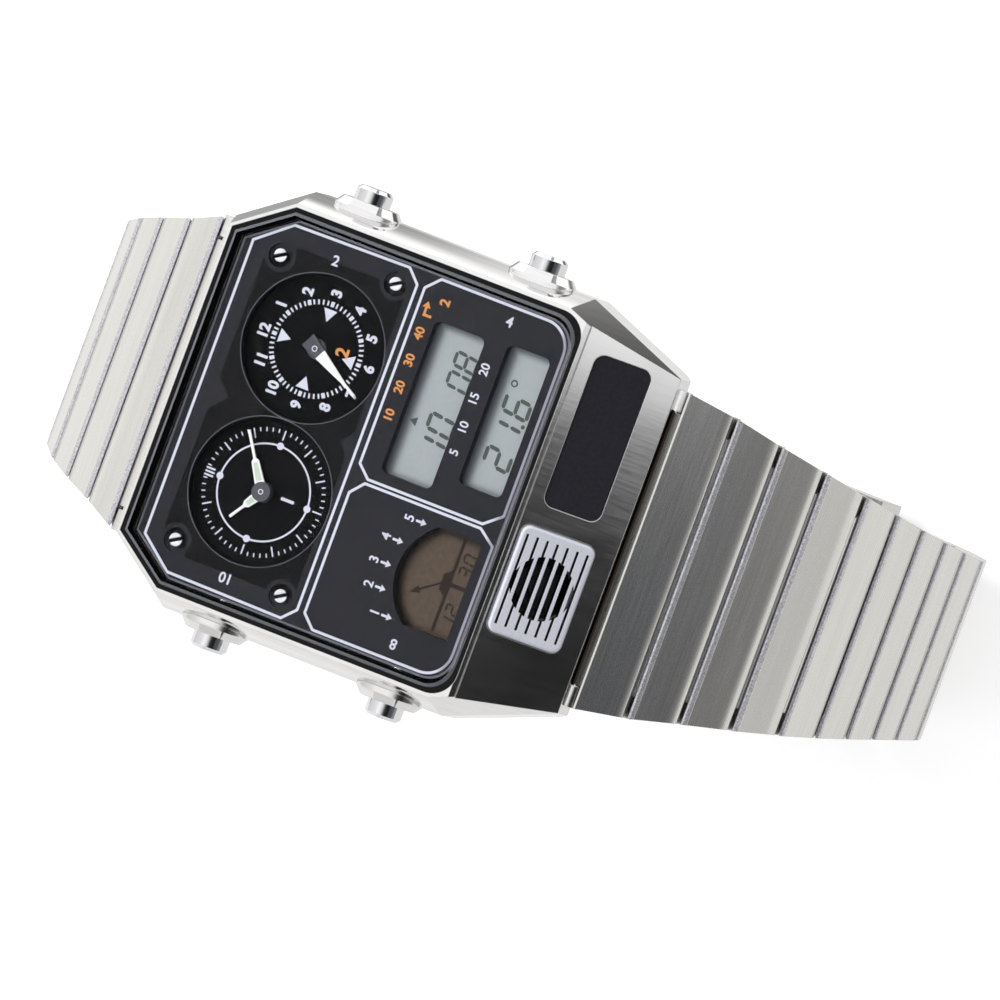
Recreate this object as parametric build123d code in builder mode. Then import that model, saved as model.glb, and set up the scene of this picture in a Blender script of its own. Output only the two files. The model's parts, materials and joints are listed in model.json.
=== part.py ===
from build123d import *
import math
import os

# A wristwatch with two dials, three display windows and a tapered link bracelet, in millimetres.
# Z rises from the flat case back through the dial, X points to 3 o'clock and Y to 12 o'clock.
os.makedirs("parts", exist_ok=True)

overrun = 3.0
running_gap = 0.04
part_gap = 0.1

# Heights above the case back
back_thickness = 0.8
crystal_seat_height = 7.35
bezel_rim = 0.85
bezel_height = crystal_seat_height + bezel_rim
bevel_base_height = 4.2
end_underside_height = 2.2

# Case outline
case_half_width = 16.15
case_top = 18.05
case_foot = 18.35
case_corner_width = 3.65
case_corner_length = 5.15
bezel_bevel = 1.1
taper_start = 10.0
foot_half_width = 0.8 * case_half_width
slope_run = 6.6
slope_start = case_foot - slope_run
slope_start_drop = 0.25
slope_start_height = bezel_height - slope_start_drop
slope_angle = 29
underside_flat_length = 17.6

# Crystal opening, the outline that crystal, gasket, dial plate and module pocket follow
bezel_side_width = 1.4
bezel_top_width = 1.35
bezel_foot_width = 0.35
glass_half_width = case_half_width - bezel_side_width
glass_top = case_top - bezel_top_width
glass_foot = slope_start - bezel_foot_width
glass_corner_width = 0.2 * glass_half_width
glass_corner_length = 0.25 * glass_top
glass_corner_radius = 2.0
crystal_gasket_width = 0.35
crystal_thickness = 1.15
crystal_edge = 0.24
pocket_inset = 0.75

# Bracelet
lug_height = 3.2
lug_top_reach = 0.42
lug_foot_reach = 0.15
link_pitch = 4.1
link_thickness = 1.9
link_gap = 0.24
link_relief = 0.55
link_edge = 0.12
knuckle_radius = 0.68
knuckle_gap = 0.12
ear_width = 1.6
pin_radius = 0.4
foot_tilts = [36, 43, 47, 56, 70, 77, 81, 85, 87, 104, 121, 138, 153]
top_tilts = [39, 43.5, 50, 61, 70, 77, 84, 89, 103, 118, 133, 147, 158]
link_side_step = 0.7
link_width_at_case = 2 * (foot_half_width - link_side_step)
link_width_at_clasp = 14.0
foot_width_shares = [1, 0.885, 0.72, 0.575, 0.435, 0.32, 0.22, 0.13, 0.06, 0, 0, 0, 0, 0]
top_width_shares = [0.97, 0.755, 0.605, 0.46, 0.34, 0.235, 0.15, 0.08, 0.03, 0, 0, 0, 0, 0]


def cut_corner_points(half_width, top, foot, corner_width, corner_length, inset):
    """A rectangle whose two upper corners are cut, moved inwards on every side by the inset"""
    cut = math.hypot(corner_width, corner_length)
    corner_x = half_width - corner_width - inset * (cut - corner_width) / corner_length
    corner_y = top - corner_length - inset * (cut - corner_length) / corner_width
    return [
        (-corner_x, top - inset),
        (inset - half_width, corner_y),
        (inset - half_width, inset - foot),
        (half_width - inset, inset - foot),
        (half_width - inset, corner_y),
        (corner_x, top - inset),
    ]


def glass_outline(inset):
    """The crystal's outline, moved inwards by the inset, to be added to a sketch"""
    with BuildSketch() as outline:
        with BuildLine():
            Polyline(*cut_corner_points(glass_half_width, glass_top, glass_foot,
                                        glass_corner_width, glass_corner_length, inset), close=True)
        make_face()
        fillet(outline.vertices().group_by(Axis.Y)[0], glass_corner_radius)
    return outline.sketch


def save(piece, name):
    """Names a finished piece and writes it"""
    piece.part.label = name
    export_step(piece.part, f"parts/{name}.step")


# Case middle: flanks with a steep bevel, a sloping panel at 6 o'clock and lugs for the bracelet
pusher_places = [(8.75, 1), (-5.6, 1), (8.75, -1), (-5.6, -1)]
pusher_height = 3.7
boss_length = 5.3
boss_reach = 0.6
boss_height = 4.2
boss_slope = 38
boss_root = 1.2
pusher_head_radius = 1.4
pusher_stem_radius = 0.6
pusher_travel = 0.8
pusher_seat_depth = 1.9
pocket_half_width = glass_half_width - pocket_inset
lug_top_y = case_top + lug_top_reach
lug_foot_y = -case_foot - lug_foot_reach
lug_outer = link_width_at_case / 2
slope_direction = Vector(0, -math.cos(math.radians(slope_angle)), -math.sin(math.radians(slope_angle)))
slope_plane = Plane(origin=(0, -slope_start, slope_start_height), x_dir=(1, 0, 0),
                    z_dir=Vector(1, 0, 0).cross(-slope_direction))
badge_size = (0.906 * foot_half_width, 4.45)
badge_place = (0.53 * foot_half_width, -3.25)
badge_depth = 0.4
badge_corner = 0.8
grille_size = (0.646 * foot_half_width, 5.8)
grille_place = (-0.372 * foot_half_width, -3.15)
grille_seat_depth = 0.5
grille_corner = 0.75
sensor_pocket_radius = 2.2
sensor_pocket_depth = 1.7
wire_bore_height = 5.9
wire_bore_radius = 0.35
wire_bore_length = 1.8
back_screw_x = 9.0
back_screw_step = 2.2
back_screw_top = glass_top - part_gap / 2
back_screw_foot = -glass_foot - back_screw_step
back_screw_places = [
    (direction * back_screw_x, place)
    for place in (back_screw_top, back_screw_foot)
    for direction in (1, -1)
]
back_screw_radius = 0.4
back_screw_depth = 2.2
bar_hole_wall = 0.3

case_outline = [
    (case_corner_width - case_half_width, case_top),
    (-case_half_width, case_top - case_corner_length),
    (-case_half_width, -taper_start),
    (-foot_half_width, -case_foot),
    (foot_half_width, -case_foot),
    (case_half_width, -taper_start),
    (case_half_width, case_top - case_corner_length),
    (case_half_width - case_corner_width, case_top),
]
bevel_height = bezel_height - bevel_base_height
bevel_angle = math.degrees(math.atan2(bezel_bevel, bevel_height))
slope_drop = (case_foot + overrun - slope_start) * math.tan(math.radians(slope_angle))

with BuildPart() as case_middle:
    with BuildSketch(Plane.XY.offset(back_thickness)):
        with BuildLine():
            Polyline(*case_outline, close=True)
        make_face()
    extrude(amount=bevel_base_height - back_thickness)
    with BuildSketch(Plane.XY.offset(bevel_base_height)):
        with BuildLine():
            Polyline(*case_outline, close=True)
        make_face()
    extrude(amount=bevel_height, taper=bevel_angle)
    with BuildSketch(Plane.YZ):
        with BuildLine():
            Polyline(
                (-slope_start, slope_start_height),
                (-slope_start, bezel_height + overrun),
                (-case_foot - overrun, bezel_height + overrun),
                (-case_foot - overrun, slope_start_height - slope_drop),
                close=True,
            )
        make_face()
        for direction in (1, -1):
            with BuildLine():
                Polyline(
                    (direction * underside_flat_length, back_thickness),
                    (direction * (case_foot + part_gap), end_underside_height),
                    (direction * (case_foot + part_gap), 0),
                    (direction * underside_flat_length, 0),
                    close=True,
                )
            make_face()
    extrude(amount=case_half_width + overrun, both=True, mode=Mode.SUBTRACT)
    # raised oval bosses round the pushers
    for place, direction in pusher_places:
        boss_plane = Plane(origin=(direction * case_half_width, place, pusher_height),
                           x_dir=(0, 1, 0), z_dir=(direction, 0, 0))
        with BuildSketch(boss_plane):
            SlotOverall(boss_length, boss_height)
        extrude(amount=boss_reach, taper=boss_slope)
        with BuildSketch(boss_plane.offset(-boss_root)):
            SlotOverall(boss_length, boss_height)
        extrude(amount=boss_root)
    # lugs, whose knuckles carry the spring bars
    for lug_y, direction in ((lug_top_y, 1), (lug_foot_y, -1)):
        for lug_x in (-lug_outer, lug_outer - ear_width):
            with BuildSketch(Plane.YZ.offset(lug_x)):
                with Locations((lug_y, lug_height)):
                    Circle(knuckle_radius)
                with Locations((lug_y - direction * knuckle_radius, lug_height)):
                    Rectangle(2 * knuckle_radius, 2 * knuckle_radius)
            extrude(amount=ear_width)
        with BuildSketch(Plane.YZ):
            with Locations((lug_y, lug_height)):
                Circle(knuckle_radius + knuckle_gap)
        extrude(amount=lug_outer - ear_width, both=True, mode=Mode.SUBTRACT)
        with BuildSketch(Plane.YZ):
            with Locations((lug_y, lug_height)):
                Circle(pin_radius + running_gap / 2)
        extrude(amount=lug_outer - bar_hole_wall, both=True, mode=Mode.SUBTRACT)
    # crystal seat and module pocket
    with BuildSketch(Plane.XY.offset(crystal_seat_height)):
        add(glass_outline(0))
    extrude(amount=bezel_height + overrun - crystal_seat_height, mode=Mode.SUBTRACT)
    with BuildSketch(Plane.XY.offset(back_thickness - overrun)):
        add(glass_outline(pocket_inset))
    extrude(amount=crystal_seat_height + overrun - back_thickness + part_gap, mode=Mode.SUBTRACT)
    # pusher seats and stem bores
    for place, direction in pusher_places:
        flank = Plane(origin=(direction * (case_half_width + boss_reach), place, pusher_height),
                      x_dir=(0, 1, 0), z_dir=(-direction, 0, 0))
        with BuildSketch(flank.offset(-overrun)):
            Circle(pusher_head_radius + 2 * running_gap)
        extrude(amount=pusher_seat_depth + overrun, mode=Mode.SUBTRACT)
        with BuildSketch(flank):
            Circle(pusher_stem_radius + running_gap)
        extrude(amount=2 * overrun, mode=Mode.SUBTRACT)
    # recesses of the sloping panel
    with BuildSketch(slope_plane):
        with Locations(badge_place):
            RectangleRounded(*badge_size, badge_corner)
    extrude(amount=-badge_depth, mode=Mode.SUBTRACT)
    with BuildSketch(slope_plane):
        with Locations(grille_place):
            RectangleRounded(*grille_size, grille_corner)
    extrude(amount=-grille_seat_depth, mode=Mode.SUBTRACT)
    with BuildSketch(slope_plane.offset(-grille_seat_depth)):
        with Locations(grille_place):
            Circle(sensor_pocket_radius)
    extrude(amount=-sensor_pocket_depth, mode=Mode.SUBTRACT)
    # bore for the sensor's wires
    with BuildSketch(Plane.XZ.offset(glass_foot - pocket_inset - part_gap)):
        with Locations((grille_place[0], wire_bore_height)):
            Circle(wire_bore_radius)
    extrude(amount=wire_bore_length, mode=Mode.SUBTRACT)
    # blind holes for the back screws
    with BuildSketch(Plane.XY.offset(back_thickness)):
        with Locations(*back_screw_places):
            Circle(back_screw_radius + running_gap)
    extrude(amount=back_screw_depth + part_gap, mode=Mode.SUBTRACT)
save(case_middle, "case_middle")

# Case back: a plate under the case with a plug inside the pocket, a seal round it and four screws
back_margin = 0.45
plug_inset = 1.55
plug_height = 0.7
back_head_radius = 0.75
back_head_height = 0.45
back_slot_width = 0.25
back_slot_depth = 0.2

with BuildPart() as case_back:
    with BuildSketch():
        with BuildLine():
            Polyline(*case_outline, close=True)
        make_face()
        offset(amount=-back_margin, kind=Kind.INTERSECTION)
        Rectangle(2 * case_half_width, 2 * underside_flat_length, mode=Mode.INTERSECT)
    extrude(amount=back_thickness)
    with BuildSketch(Plane.XY.offset(back_thickness)):
        add(glass_outline(plug_inset))
    extrude(amount=plug_height)
    with BuildSketch():
        with Locations(*back_screw_places):
            Circle(back_head_radius + running_gap)
    extrude(amount=back_head_height, mode=Mode.SUBTRACT)
    with BuildSketch():
        with Locations(*back_screw_places):
            Circle(back_screw_radius + running_gap)
    extrude(amount=back_thickness, mode=Mode.SUBTRACT)
save(case_back, "case_back")

with BuildPart() as back_gasket:
    with BuildSketch(Plane.XY.offset(back_thickness + part_gap / 2)):
        add(glass_outline(pocket_inset + running_gap))
    extrude(amount=plug_height - part_gap)
    with BuildSketch(Plane.XY.offset(back_thickness)):
        add(glass_outline(plug_inset - running_gap))
    extrude(amount=plug_height, mode=Mode.SUBTRACT)
save(back_gasket, "back_gasket")

with BuildPart() as back_screws:
    with BuildSketch():
        with Locations(*back_screw_places):
            Circle(back_head_radius)
    extrude(amount=back_head_height)
    with BuildSketch():
        with Locations(*back_screw_places):
            Circle(back_screw_radius)
    extrude(amount=back_thickness + back_screw_depth)
    with BuildSketch():
        with Locations(*back_screw_places):
            Rectangle(2 * back_head_radius + part_gap, back_slot_width)
    extrude(amount=back_slot_depth, mode=Mode.SUBTRACT)
save(back_screws, "back_screws")

# Crystal and the black gasket that holds it in the bezel
with BuildPart() as crystal:
    with BuildSketch(Plane.XY.offset(crystal_seat_height)):
        add(glass_outline(crystal_gasket_width))
    extrude(amount=crystal_thickness)
    chamfer(crystal.faces().sort_by(Axis.Z)[-1].edges(), crystal_edge)
save(crystal, "crystal")

with BuildPart() as crystal_gasket:
    with BuildSketch(Plane.XY.offset(crystal_seat_height)):
        add(glass_outline(running_gap / 2))
    extrude(amount=bezel_height - crystal_seat_height)
    with BuildSketch(Plane.XY.offset(crystal_seat_height)):
        add(glass_outline(crystal_gasket_width - running_gap / 2))
    extrude(amount=bezel_height - crystal_seat_height, mode=Mode.SUBTRACT)
save(crystal_gasket, "crystal_gasket")

# Dial plate: a black mask with two wells, three display windows and four screw seats
crystal_dial_gap = 0.15
dial_height = crystal_seat_height - crystal_dial_gap
dial_thickness = 0.85
dial_corner_inset = pocket_inset + part_gap
well_radius = 0.373 * glass_half_width
well_x = 0.377 * glass_half_width
well_y = 0.476 * glass_top
main_window = (0.793 * glass_half_width, 0.36 * glass_foot)
main_window_place = (0.329 * glass_half_width, -0.193 * glass_foot)
lower_window = (0.729 * glass_half_width, 0.307 * glass_foot)
lower_window_place = (0.38 * glass_half_width, -0.68 * glass_foot)
window_corner = 0.5
function_window_width = 0.5085 * glass_half_width
function_window_foot = -0.8246 * glass_foot
function_window_shoulder = -0.509 * glass_foot
function_window_top = -0.342 * glass_foot
function_window_x = -0.478 * glass_half_width
dial_screw_places = [
    (direction * across * glass_half_width, up * glass_top)
    for across, up in ((0.7485, 0.7635), (0.8203, 0.2216))
    for direction in (1, -1)
]
dial_screw_radius = 0.5
dial_screw_shank = 0.28
dial_screw_head = 0.25
dial_screw_seat = 0.9
dial_screw_slot = 0.26
dial_screw_turn = -60

with BuildPart() as dial_plate:
    with BuildSketch(Plane.XY.offset(dial_height - dial_thickness)):
        add(glass_outline(dial_corner_inset))
    extrude(amount=dial_thickness)
    with BuildSketch(Plane.XY.offset(dial_height)):
        with Locations((-well_x, well_y), (well_x, well_y)):
            Circle(well_radius)
        with Locations(main_window_place):
            RectangleRounded(*main_window, window_corner)
        with Locations(lower_window_place):
            RectangleRounded(*lower_window, window_corner)
        with BuildLine():
            dome = ThreePointArc(
                (function_window_x + function_window_width / 2, function_window_shoulder),
                (function_window_x, function_window_top),
                (function_window_x - function_window_width / 2, function_window_shoulder),
            )
            Polyline(
                dome @ 1,
                (function_window_x - function_window_width / 2, function_window_foot),
                (function_window_x + function_window_width / 2, function_window_foot),
                dome @ 0,
            )
        make_face()
        with Locations(dial_screw_places):
            Circle(dial_screw_shank + running_gap)
    extrude(amount=-dial_thickness, mode=Mode.SUBTRACT)
    with BuildSketch(Plane.XY.offset(dial_height)):
        with Locations(dial_screw_places):
            Circle(dial_screw_seat)
    extrude(amount=-dial_screw_head, mode=Mode.SUBTRACT)
save(dial_plate, "dial_plate")

with BuildPart() as dial_screws:
    with BuildSketch(Plane.XY.offset(dial_height - dial_screw_head)):
        with Locations(dial_screw_places):
            Circle(dial_screw_radius)
    extrude(amount=dial_screw_head)
    with BuildSketch(Plane.XY.offset(dial_height - dial_thickness)):
        with Locations(dial_screw_places):
            Circle(dial_screw_shank)
    extrude(amount=dial_thickness - dial_screw_head)
    with BuildSketch(Plane.XY.offset(dial_height)):
        with Locations(dial_screw_places):
            Rectangle(2 * dial_screw_radius + part_gap, dial_screw_slot, rotation=dial_screw_turn)
    extrude(amount=-dial_screw_head / 2, mode=Mode.SUBTRACT)
save(dial_screws, "dial_screws")

# Sub-dials in the wells, cut flat where they meet, each over its own movement
sub_dial_overlap = 0.7
sub_dial_radius = well_radius + sub_dial_overlap
sub_dial_thickness = 0.35
sub_dial_top = dial_height - dial_thickness
bush_radius = 0.75
bush_rise = 0.05
bush_height = sub_dial_top + bush_rise
hour_pipe_radius = 0.42
arbor_radius = 0.22
movement_size = 1.9 * well_x
movement_thickness = 1.4
movement_base = sub_dial_top - sub_dial_thickness - movement_thickness - running_gap
movement_corner = 2.2


def build_sub_dial(direction):
    """A dial disc, cut flat towards the other one, with a hole for the movement's bush"""
    with BuildPart() as disc:
        with BuildSketch(Plane.XY.offset(sub_dial_top - sub_dial_thickness)):
            with Locations((direction * well_x, well_y)):
                Circle(sub_dial_radius)
            with Locations((-direction * (well_x - part_gap / 2), well_y)):
                Rectangle(2 * well_x, 2 * sub_dial_radius, mode=Mode.SUBTRACT)
            with Locations((direction * well_x, well_y)):
                Circle(bush_radius + running_gap, mode=Mode.SUBTRACT)
        extrude(amount=sub_dial_thickness)
    return disc


def build_movement(direction):
    """A flat motor block whose bush guides the hands that turn over the dial"""
    with BuildPart() as block:
        with BuildSketch(Plane.XY.offset(movement_base)):
            with Locations((direction * well_x, well_y)):
                RectangleRounded(movement_size, movement_size, movement_corner)
        extrude(amount=movement_thickness)
        with BuildSketch(Plane.XY.offset(movement_base + movement_thickness)):
            with Locations((direction * well_x, well_y)):
                Circle(bush_radius)
        extrude(amount=bush_height - movement_base - movement_thickness)
        with BuildSketch(Plane.XY.offset(bush_height)):
            with Locations((direction * well_x, well_y)):
                Circle(hour_pipe_radius + running_gap)
        extrude(amount=movement_base - bush_height + part_gap, mode=Mode.SUBTRACT)
    return block


save(build_sub_dial(-1), "time_dial")
save(build_sub_dial(1), "second_dial")
save(build_movement(-1), "time_movement")
save(build_movement(1), "second_movement")

# Hands: each has its tube or arbor in the movement's bush
hand_thickness = 0.14
hand_gap = 0.08
hour_hand_height = bush_height + hand_gap
minute_hand_height = hour_hand_height + hand_thickness + hand_gap + running_gap
pipe_foot = movement_base + 0.25 * movement_thickness
hour_hand_length = 3.05
hour_hand_width = 0.8
minute_hand_length = 4.65
minute_hand_width = 0.8
needle_width = 0.2
hub_radius = 0.72
second_hand_length = 4.6
second_wedge_length = 3.5
second_tail_length = 0.9
second_tail_width = 1.2
second_body_length = 0.55
second_body_width = 0.9
minute_angle = 57.0
hour_angle = 304.75
second_zone_angle = 208.7
hand_shoulder_share = 0.5
hand_taper_share = 0.72


def dial_direction(angle, direction, height):
    """A plane on a dial's axis whose Y axis points to the angle, clockwise from 12 o'clock"""
    turn = math.radians(angle)
    return Plane(origin=(direction * well_x, well_y, height),
                 x_dir=(math.cos(turn), -math.sin(turn), 0), z_dir=(0, 0, 1))


def baton_points(length, width):
    """Half-width steps of a hand that narrows to a needle past its shoulder"""
    shoulder = length * hand_shoulder_share
    shoulder_half = width / 2 * hand_taper_share
    return [
        (width / 2, 0),
        (shoulder_half, shoulder),
        (needle_width / 2, shoulder + needle_width),
        (needle_width / 2, length),
        (-needle_width / 2, length),
        (-needle_width / 2, shoulder + needle_width),
        (-shoulder_half, shoulder),
        (-width / 2, 0),
    ]


with BuildPart() as hour_hand:
    hour_plane = dial_direction(hour_angle, -1, hour_hand_height)
    with BuildSketch(hour_plane):
        with BuildLine():
            Polyline(*baton_points(hour_hand_length, hour_hand_width), close=True)
        make_face()
        Circle(hub_radius)
    extrude(amount=hand_thickness)
    with BuildSketch(hour_plane):
        Circle(hour_pipe_radius)
    extrude(amount=pipe_foot - hour_hand_height)
    with BuildSketch(hour_plane.offset(hand_thickness)):
        Circle(arbor_radius + running_gap)
    extrude(amount=pipe_foot - hour_hand_height - hand_thickness, mode=Mode.SUBTRACT)
save(hour_hand, "hour_hand")

with BuildPart() as minute_hand:
    minute_plane = dial_direction(minute_angle, -1, minute_hand_height)
    with BuildSketch(minute_plane):
        with BuildLine():
            Polyline(*baton_points(minute_hand_length, minute_hand_width), close=True)
        make_face()
    extrude(amount=hand_thickness)
    with BuildSketch(minute_plane):
        Circle(hub_radius)
    extrude(amount=2 * hand_thickness)
    with BuildSketch(minute_plane):
        Circle(arbor_radius)
    extrude(amount=pipe_foot - minute_hand_height)
save(minute_hand, "minute_hand")

with BuildPart() as second_zone_hand:
    second_plane = dial_direction(second_zone_angle, 1, hour_hand_height)
    with BuildSketch(second_plane):
        with BuildLine():
            Polyline(
                (-second_tail_width / 2, -second_tail_length), (second_tail_width / 2, -second_tail_length),
                (second_body_width / 2, second_body_length), (needle_width / 2, second_wedge_length),
                (needle_width / 2, second_hand_length), (-needle_width / 2, second_hand_length),
                (-needle_width / 2, second_wedge_length), (-second_body_width / 2, second_body_length),
                close=True,
            )
        make_face()
    extrude(amount=hand_thickness)
    with BuildSketch(second_plane.offset(hand_thickness)):
        Circle(arbor_radius)
    extrude(amount=hand_thickness)
    with BuildSketch(second_plane):
        Circle(hour_pipe_radius)
    extrude(amount=pipe_foot - hour_hand_height)
save(second_zone_hand, "second_zone_hand")

# Displays on their elastomer connectors, circuit board, module frame and battery
display_thickness = 1.05
display_base = sub_dial_top - display_thickness
display_border = 0.9
display_gap = 0.45
board_thickness = 0.5
board_base = movement_base - board_thickness - part_gap
module_side_step = 1.905
module_half_width = pocket_half_width - module_side_step
module_top = 0.874 * glass_top
module_foot = 0.912 * glass_foot
module_corner = 0.23 * glass_half_width
module_base = 1.7
connector_width = 0.8
connector_inset = 0.7
battery_radius = 0.322 * glass_half_width
battery_place = (0.3525 * glass_half_width, -0.298 * glass_foot)
battery_base = module_base + part_gap
battery_height = board_base - battery_base - part_gap
clip_thickness = 0.16
clip_width = 3.0
clip_overlap = 1.4
battery_edge = 0.3
display_foot = lower_window_place[1] - lower_window[1] / 2 - display_border / 2
display_top = main_window_place[1] + main_window[1] / 2 + part_gap
display_left = main_window_place[0] - main_window[0] / 2 - display_border / 2
display_right = main_window_place[0] + main_window[0] / 2 + display_border
function_left = function_window_x - function_window_width / 2 - display_border
function_right = display_left - part_gap
display_boxes = {
    "lcd_panel": (display_left, display_right, display_top),
    "lcd_function": (function_left, function_right, function_window_top + display_border),
}

for name, (left, right, top) in display_boxes.items():
    with BuildPart() as display:
        with BuildSketch(Plane.XY.offset(display_base)):
            with Locations(((left + right) / 2, (display_foot + top) / 2)):
                Rectangle(right - left, top - display_foot)
        extrude(amount=display_thickness)
    save(display, name)

with BuildPart() as lcd_connectors:
    with BuildSketch(Plane.XY.offset(board_base + board_thickness)):
        for left, right, top in display_boxes.values():
            with Locations(((left + right) / 2, display_foot + connector_inset),
                           ((left + right) / 2, top - connector_inset)):
                Rectangle(right - left - 2 * connector_inset, connector_width)
    extrude(amount=display_base - board_base - board_thickness)
save(lcd_connectors, "lcd_connectors")

with BuildPart() as circuit_board:
    with BuildSketch(Plane.XY.offset(board_base)):
        with BuildLine():
            Polyline(*cut_corner_points(module_half_width, module_top, module_foot,
                                        module_corner, module_corner, 0), close=True)
        make_face()
        with Locations((-well_x, well_y), (well_x, well_y)):
            Circle(bush_radius, mode=Mode.SUBTRACT)
    extrude(amount=board_thickness)
save(circuit_board, "circuit_board")

with BuildPart() as module_frame:
    with BuildSketch(Plane.XY.offset(module_base)):
        with BuildLine():
            Polyline(*cut_corner_points(module_half_width, module_top, module_foot,
                                        module_corner, module_corner, 0), close=True)
        make_face()
        with Locations(battery_place):
            Circle(battery_radius + part_gap, mode=Mode.SUBTRACT)
        with Locations((-well_x, well_y), (well_x, well_y)):
            Circle(movement_size / 4, mode=Mode.SUBTRACT)
    extrude(amount=board_base - module_base)
save(module_frame, "module_frame")

with BuildPart() as battery:
    with BuildSketch(Plane.XY.offset(battery_base)):
        with Locations(battery_place):
            Circle(battery_radius)
    extrude(amount=battery_height)
    chamfer(battery.faces().sort_by(Axis.Z)[0].edges(), battery_edge)
save(battery, "battery")

with BuildPart() as battery_clip:
    with BuildSketch(Plane.XY.offset(module_base - clip_thickness)):
        with Locations(battery_place):
            SlotOverall(2 * (battery_radius + clip_overlap), clip_width)
    extrude(amount=clip_thickness)
save(battery_clip, "battery_clip")

# Pushers: a polished head in the boss, a stem through the case and a retaining collar inside
head_reach = 1.15
collar_radius = 0.95
collar_thickness = 0.35
head_inner_gap = 0.1
head_edge = 0.26
pusher_tip = case_half_width + boss_reach + head_reach
head_inner = case_half_width + boss_reach - pusher_seat_depth + pusher_travel + head_inner_gap
collar_x = pocket_half_width - part_gap / 2
stem_end = collar_x - collar_thickness

for name, (place, direction) in zip(
    ["pusher_2_oclock", "pusher_4_oclock", "pusher_10_oclock", "pusher_8_oclock"], pusher_places
):
    with BuildPart() as pusher:
        axis_plane = Plane(origin=(0, place, pusher_height), x_dir=(0, 1, 0), z_dir=(direction, 0, 0))
        with BuildSketch(axis_plane.offset(head_inner)):
            Circle(pusher_head_radius)
        extrude(amount=pusher_tip - head_inner)
        chamfer(pusher.edges().sort_by(Axis.X)[-1 if direction > 0 else 0], head_edge)
        with BuildSketch(axis_plane.offset(stem_end)):
            Circle(pusher_stem_radius)
        extrude(amount=head_inner - stem_end)
        with BuildSketch(axis_plane.offset(stem_end)):
            Circle(collar_radius)
        extrude(amount=collar_thickness)
    save(pusher, name)

spring_thickness = 0.12
spring_width = 1.2
spring_length = 2.6
spring_x = stem_end - pusher_travel - part_gap - spring_thickness / 2

with BuildPart() as switch_springs:
    with BuildSketch(Plane.XY.offset(pusher_height - spring_width)):
        for place, direction in pusher_places:
            with Locations((direction * spring_x, place)):
                Rectangle(spring_thickness, spring_length)
    extrude(amount=2 * spring_width)
save(switch_springs, "switch_springs")

# Sloping panel: bare badge plate, slotted grille and the sensor behind it
badge_thickness = 0.3
badge_clearance = 0.05
grille_thickness = 0.9
grille_edge = 0.22
slot_count = 7
slot_pitch = 0.78
slot_margin = 0.72316
slot_length = grille_size[0] - 2 * slot_margin
slot_width = 0.2
wide_slot_width = 0.54
wide_slot_radius = 2.35
sensor_radius = 1.6
sensor_thickness = 0.7
sensor_boss_radius = 0.8

with BuildPart() as badge_plate:
    with BuildSketch(slope_plane.offset(-badge_depth)):
        with Locations(badge_place):
            RectangleRounded(badge_size[0] - 2 * badge_clearance, badge_size[1] - 2 * badge_clearance,
                             badge_corner - badge_clearance)
    extrude(amount=badge_thickness)
save(badge_plate, "badge_plate")

with BuildPart() as sensor_grille:
    with BuildSketch(slope_plane.offset(-grille_seat_depth)):
        with Locations(grille_place):
            RectangleRounded(grille_size[0] - 2 * badge_clearance, grille_size[1] - 2 * badge_clearance,
                             grille_corner - badge_clearance)
    extrude(amount=grille_thickness)
    grille_face = sensor_grille.faces().sort_by(SortBy.AREA).filter_by(
        lambda face: face.normal_at().dot(slope_plane.z_dir) > 0)[-1]
    fillet(grille_face.edges(), grille_edge)
    # slots run across the panel and are wider inside a circle
    with BuildSketch(slope_plane.offset(grille_thickness - grille_seat_depth)):
        with Locations(grille_place):
            with GridLocations(slot_length, slot_pitch, 1, slot_count):
                Rectangle(slot_length, wide_slot_width)
            Circle(wide_slot_radius, mode=Mode.INTERSECT)
            with GridLocations(slot_length, slot_pitch, 1, slot_count):
                Rectangle(slot_length, slot_width)
    extrude(amount=-grille_thickness, mode=Mode.SUBTRACT)
save(sensor_grille, "sensor_grille")

with BuildPart() as temperature_sensor:
    with BuildSketch(slope_plane.offset(-grille_seat_depth - sensor_pocket_depth)):
        with Locations(grille_place):
            Circle(sensor_radius)
    extrude(amount=sensor_thickness)
    with BuildSketch(slope_plane.offset(sensor_thickness - grille_seat_depth - sensor_pocket_depth)):
        with Locations(grille_place):
            Circle(sensor_boss_radius)
    extrude(amount=sensor_pocket_depth - sensor_thickness - part_gap)
save(temperature_sensor, "temperature_sensor")

# Spring bars between the case and the first links
with BuildPart() as spring_bars:
    with BuildSketch(Plane.YZ):
        with Locations((lug_top_y, lug_height), (lug_foot_y, lug_height)):
            Circle(pin_radius)
    extrude(amount=lug_outer - bar_hole_wall - part_gap, both=True)
save(spring_bars, "spring_bars")

# Bracelet links: a tube at the near pivot, two ears and a pin at the far one


def chain_pivots(start, direction, tilts):
    """Pivot places down one half of the bracelet, each link one pitch along its own tilt"""
    places = [Vector(0, *start)]
    for tilt in tilts:
        turn = math.radians(tilt)
        places.append(places[-1] + Vector(0, direction * math.cos(turn), -math.sin(turn)) * link_pitch)
    return places


def width_at(share):
    """The bracelet's width where it is tapered down to the share"""
    return link_width_at_clasp + share * (link_width_at_case - link_width_at_clasp)


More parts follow.
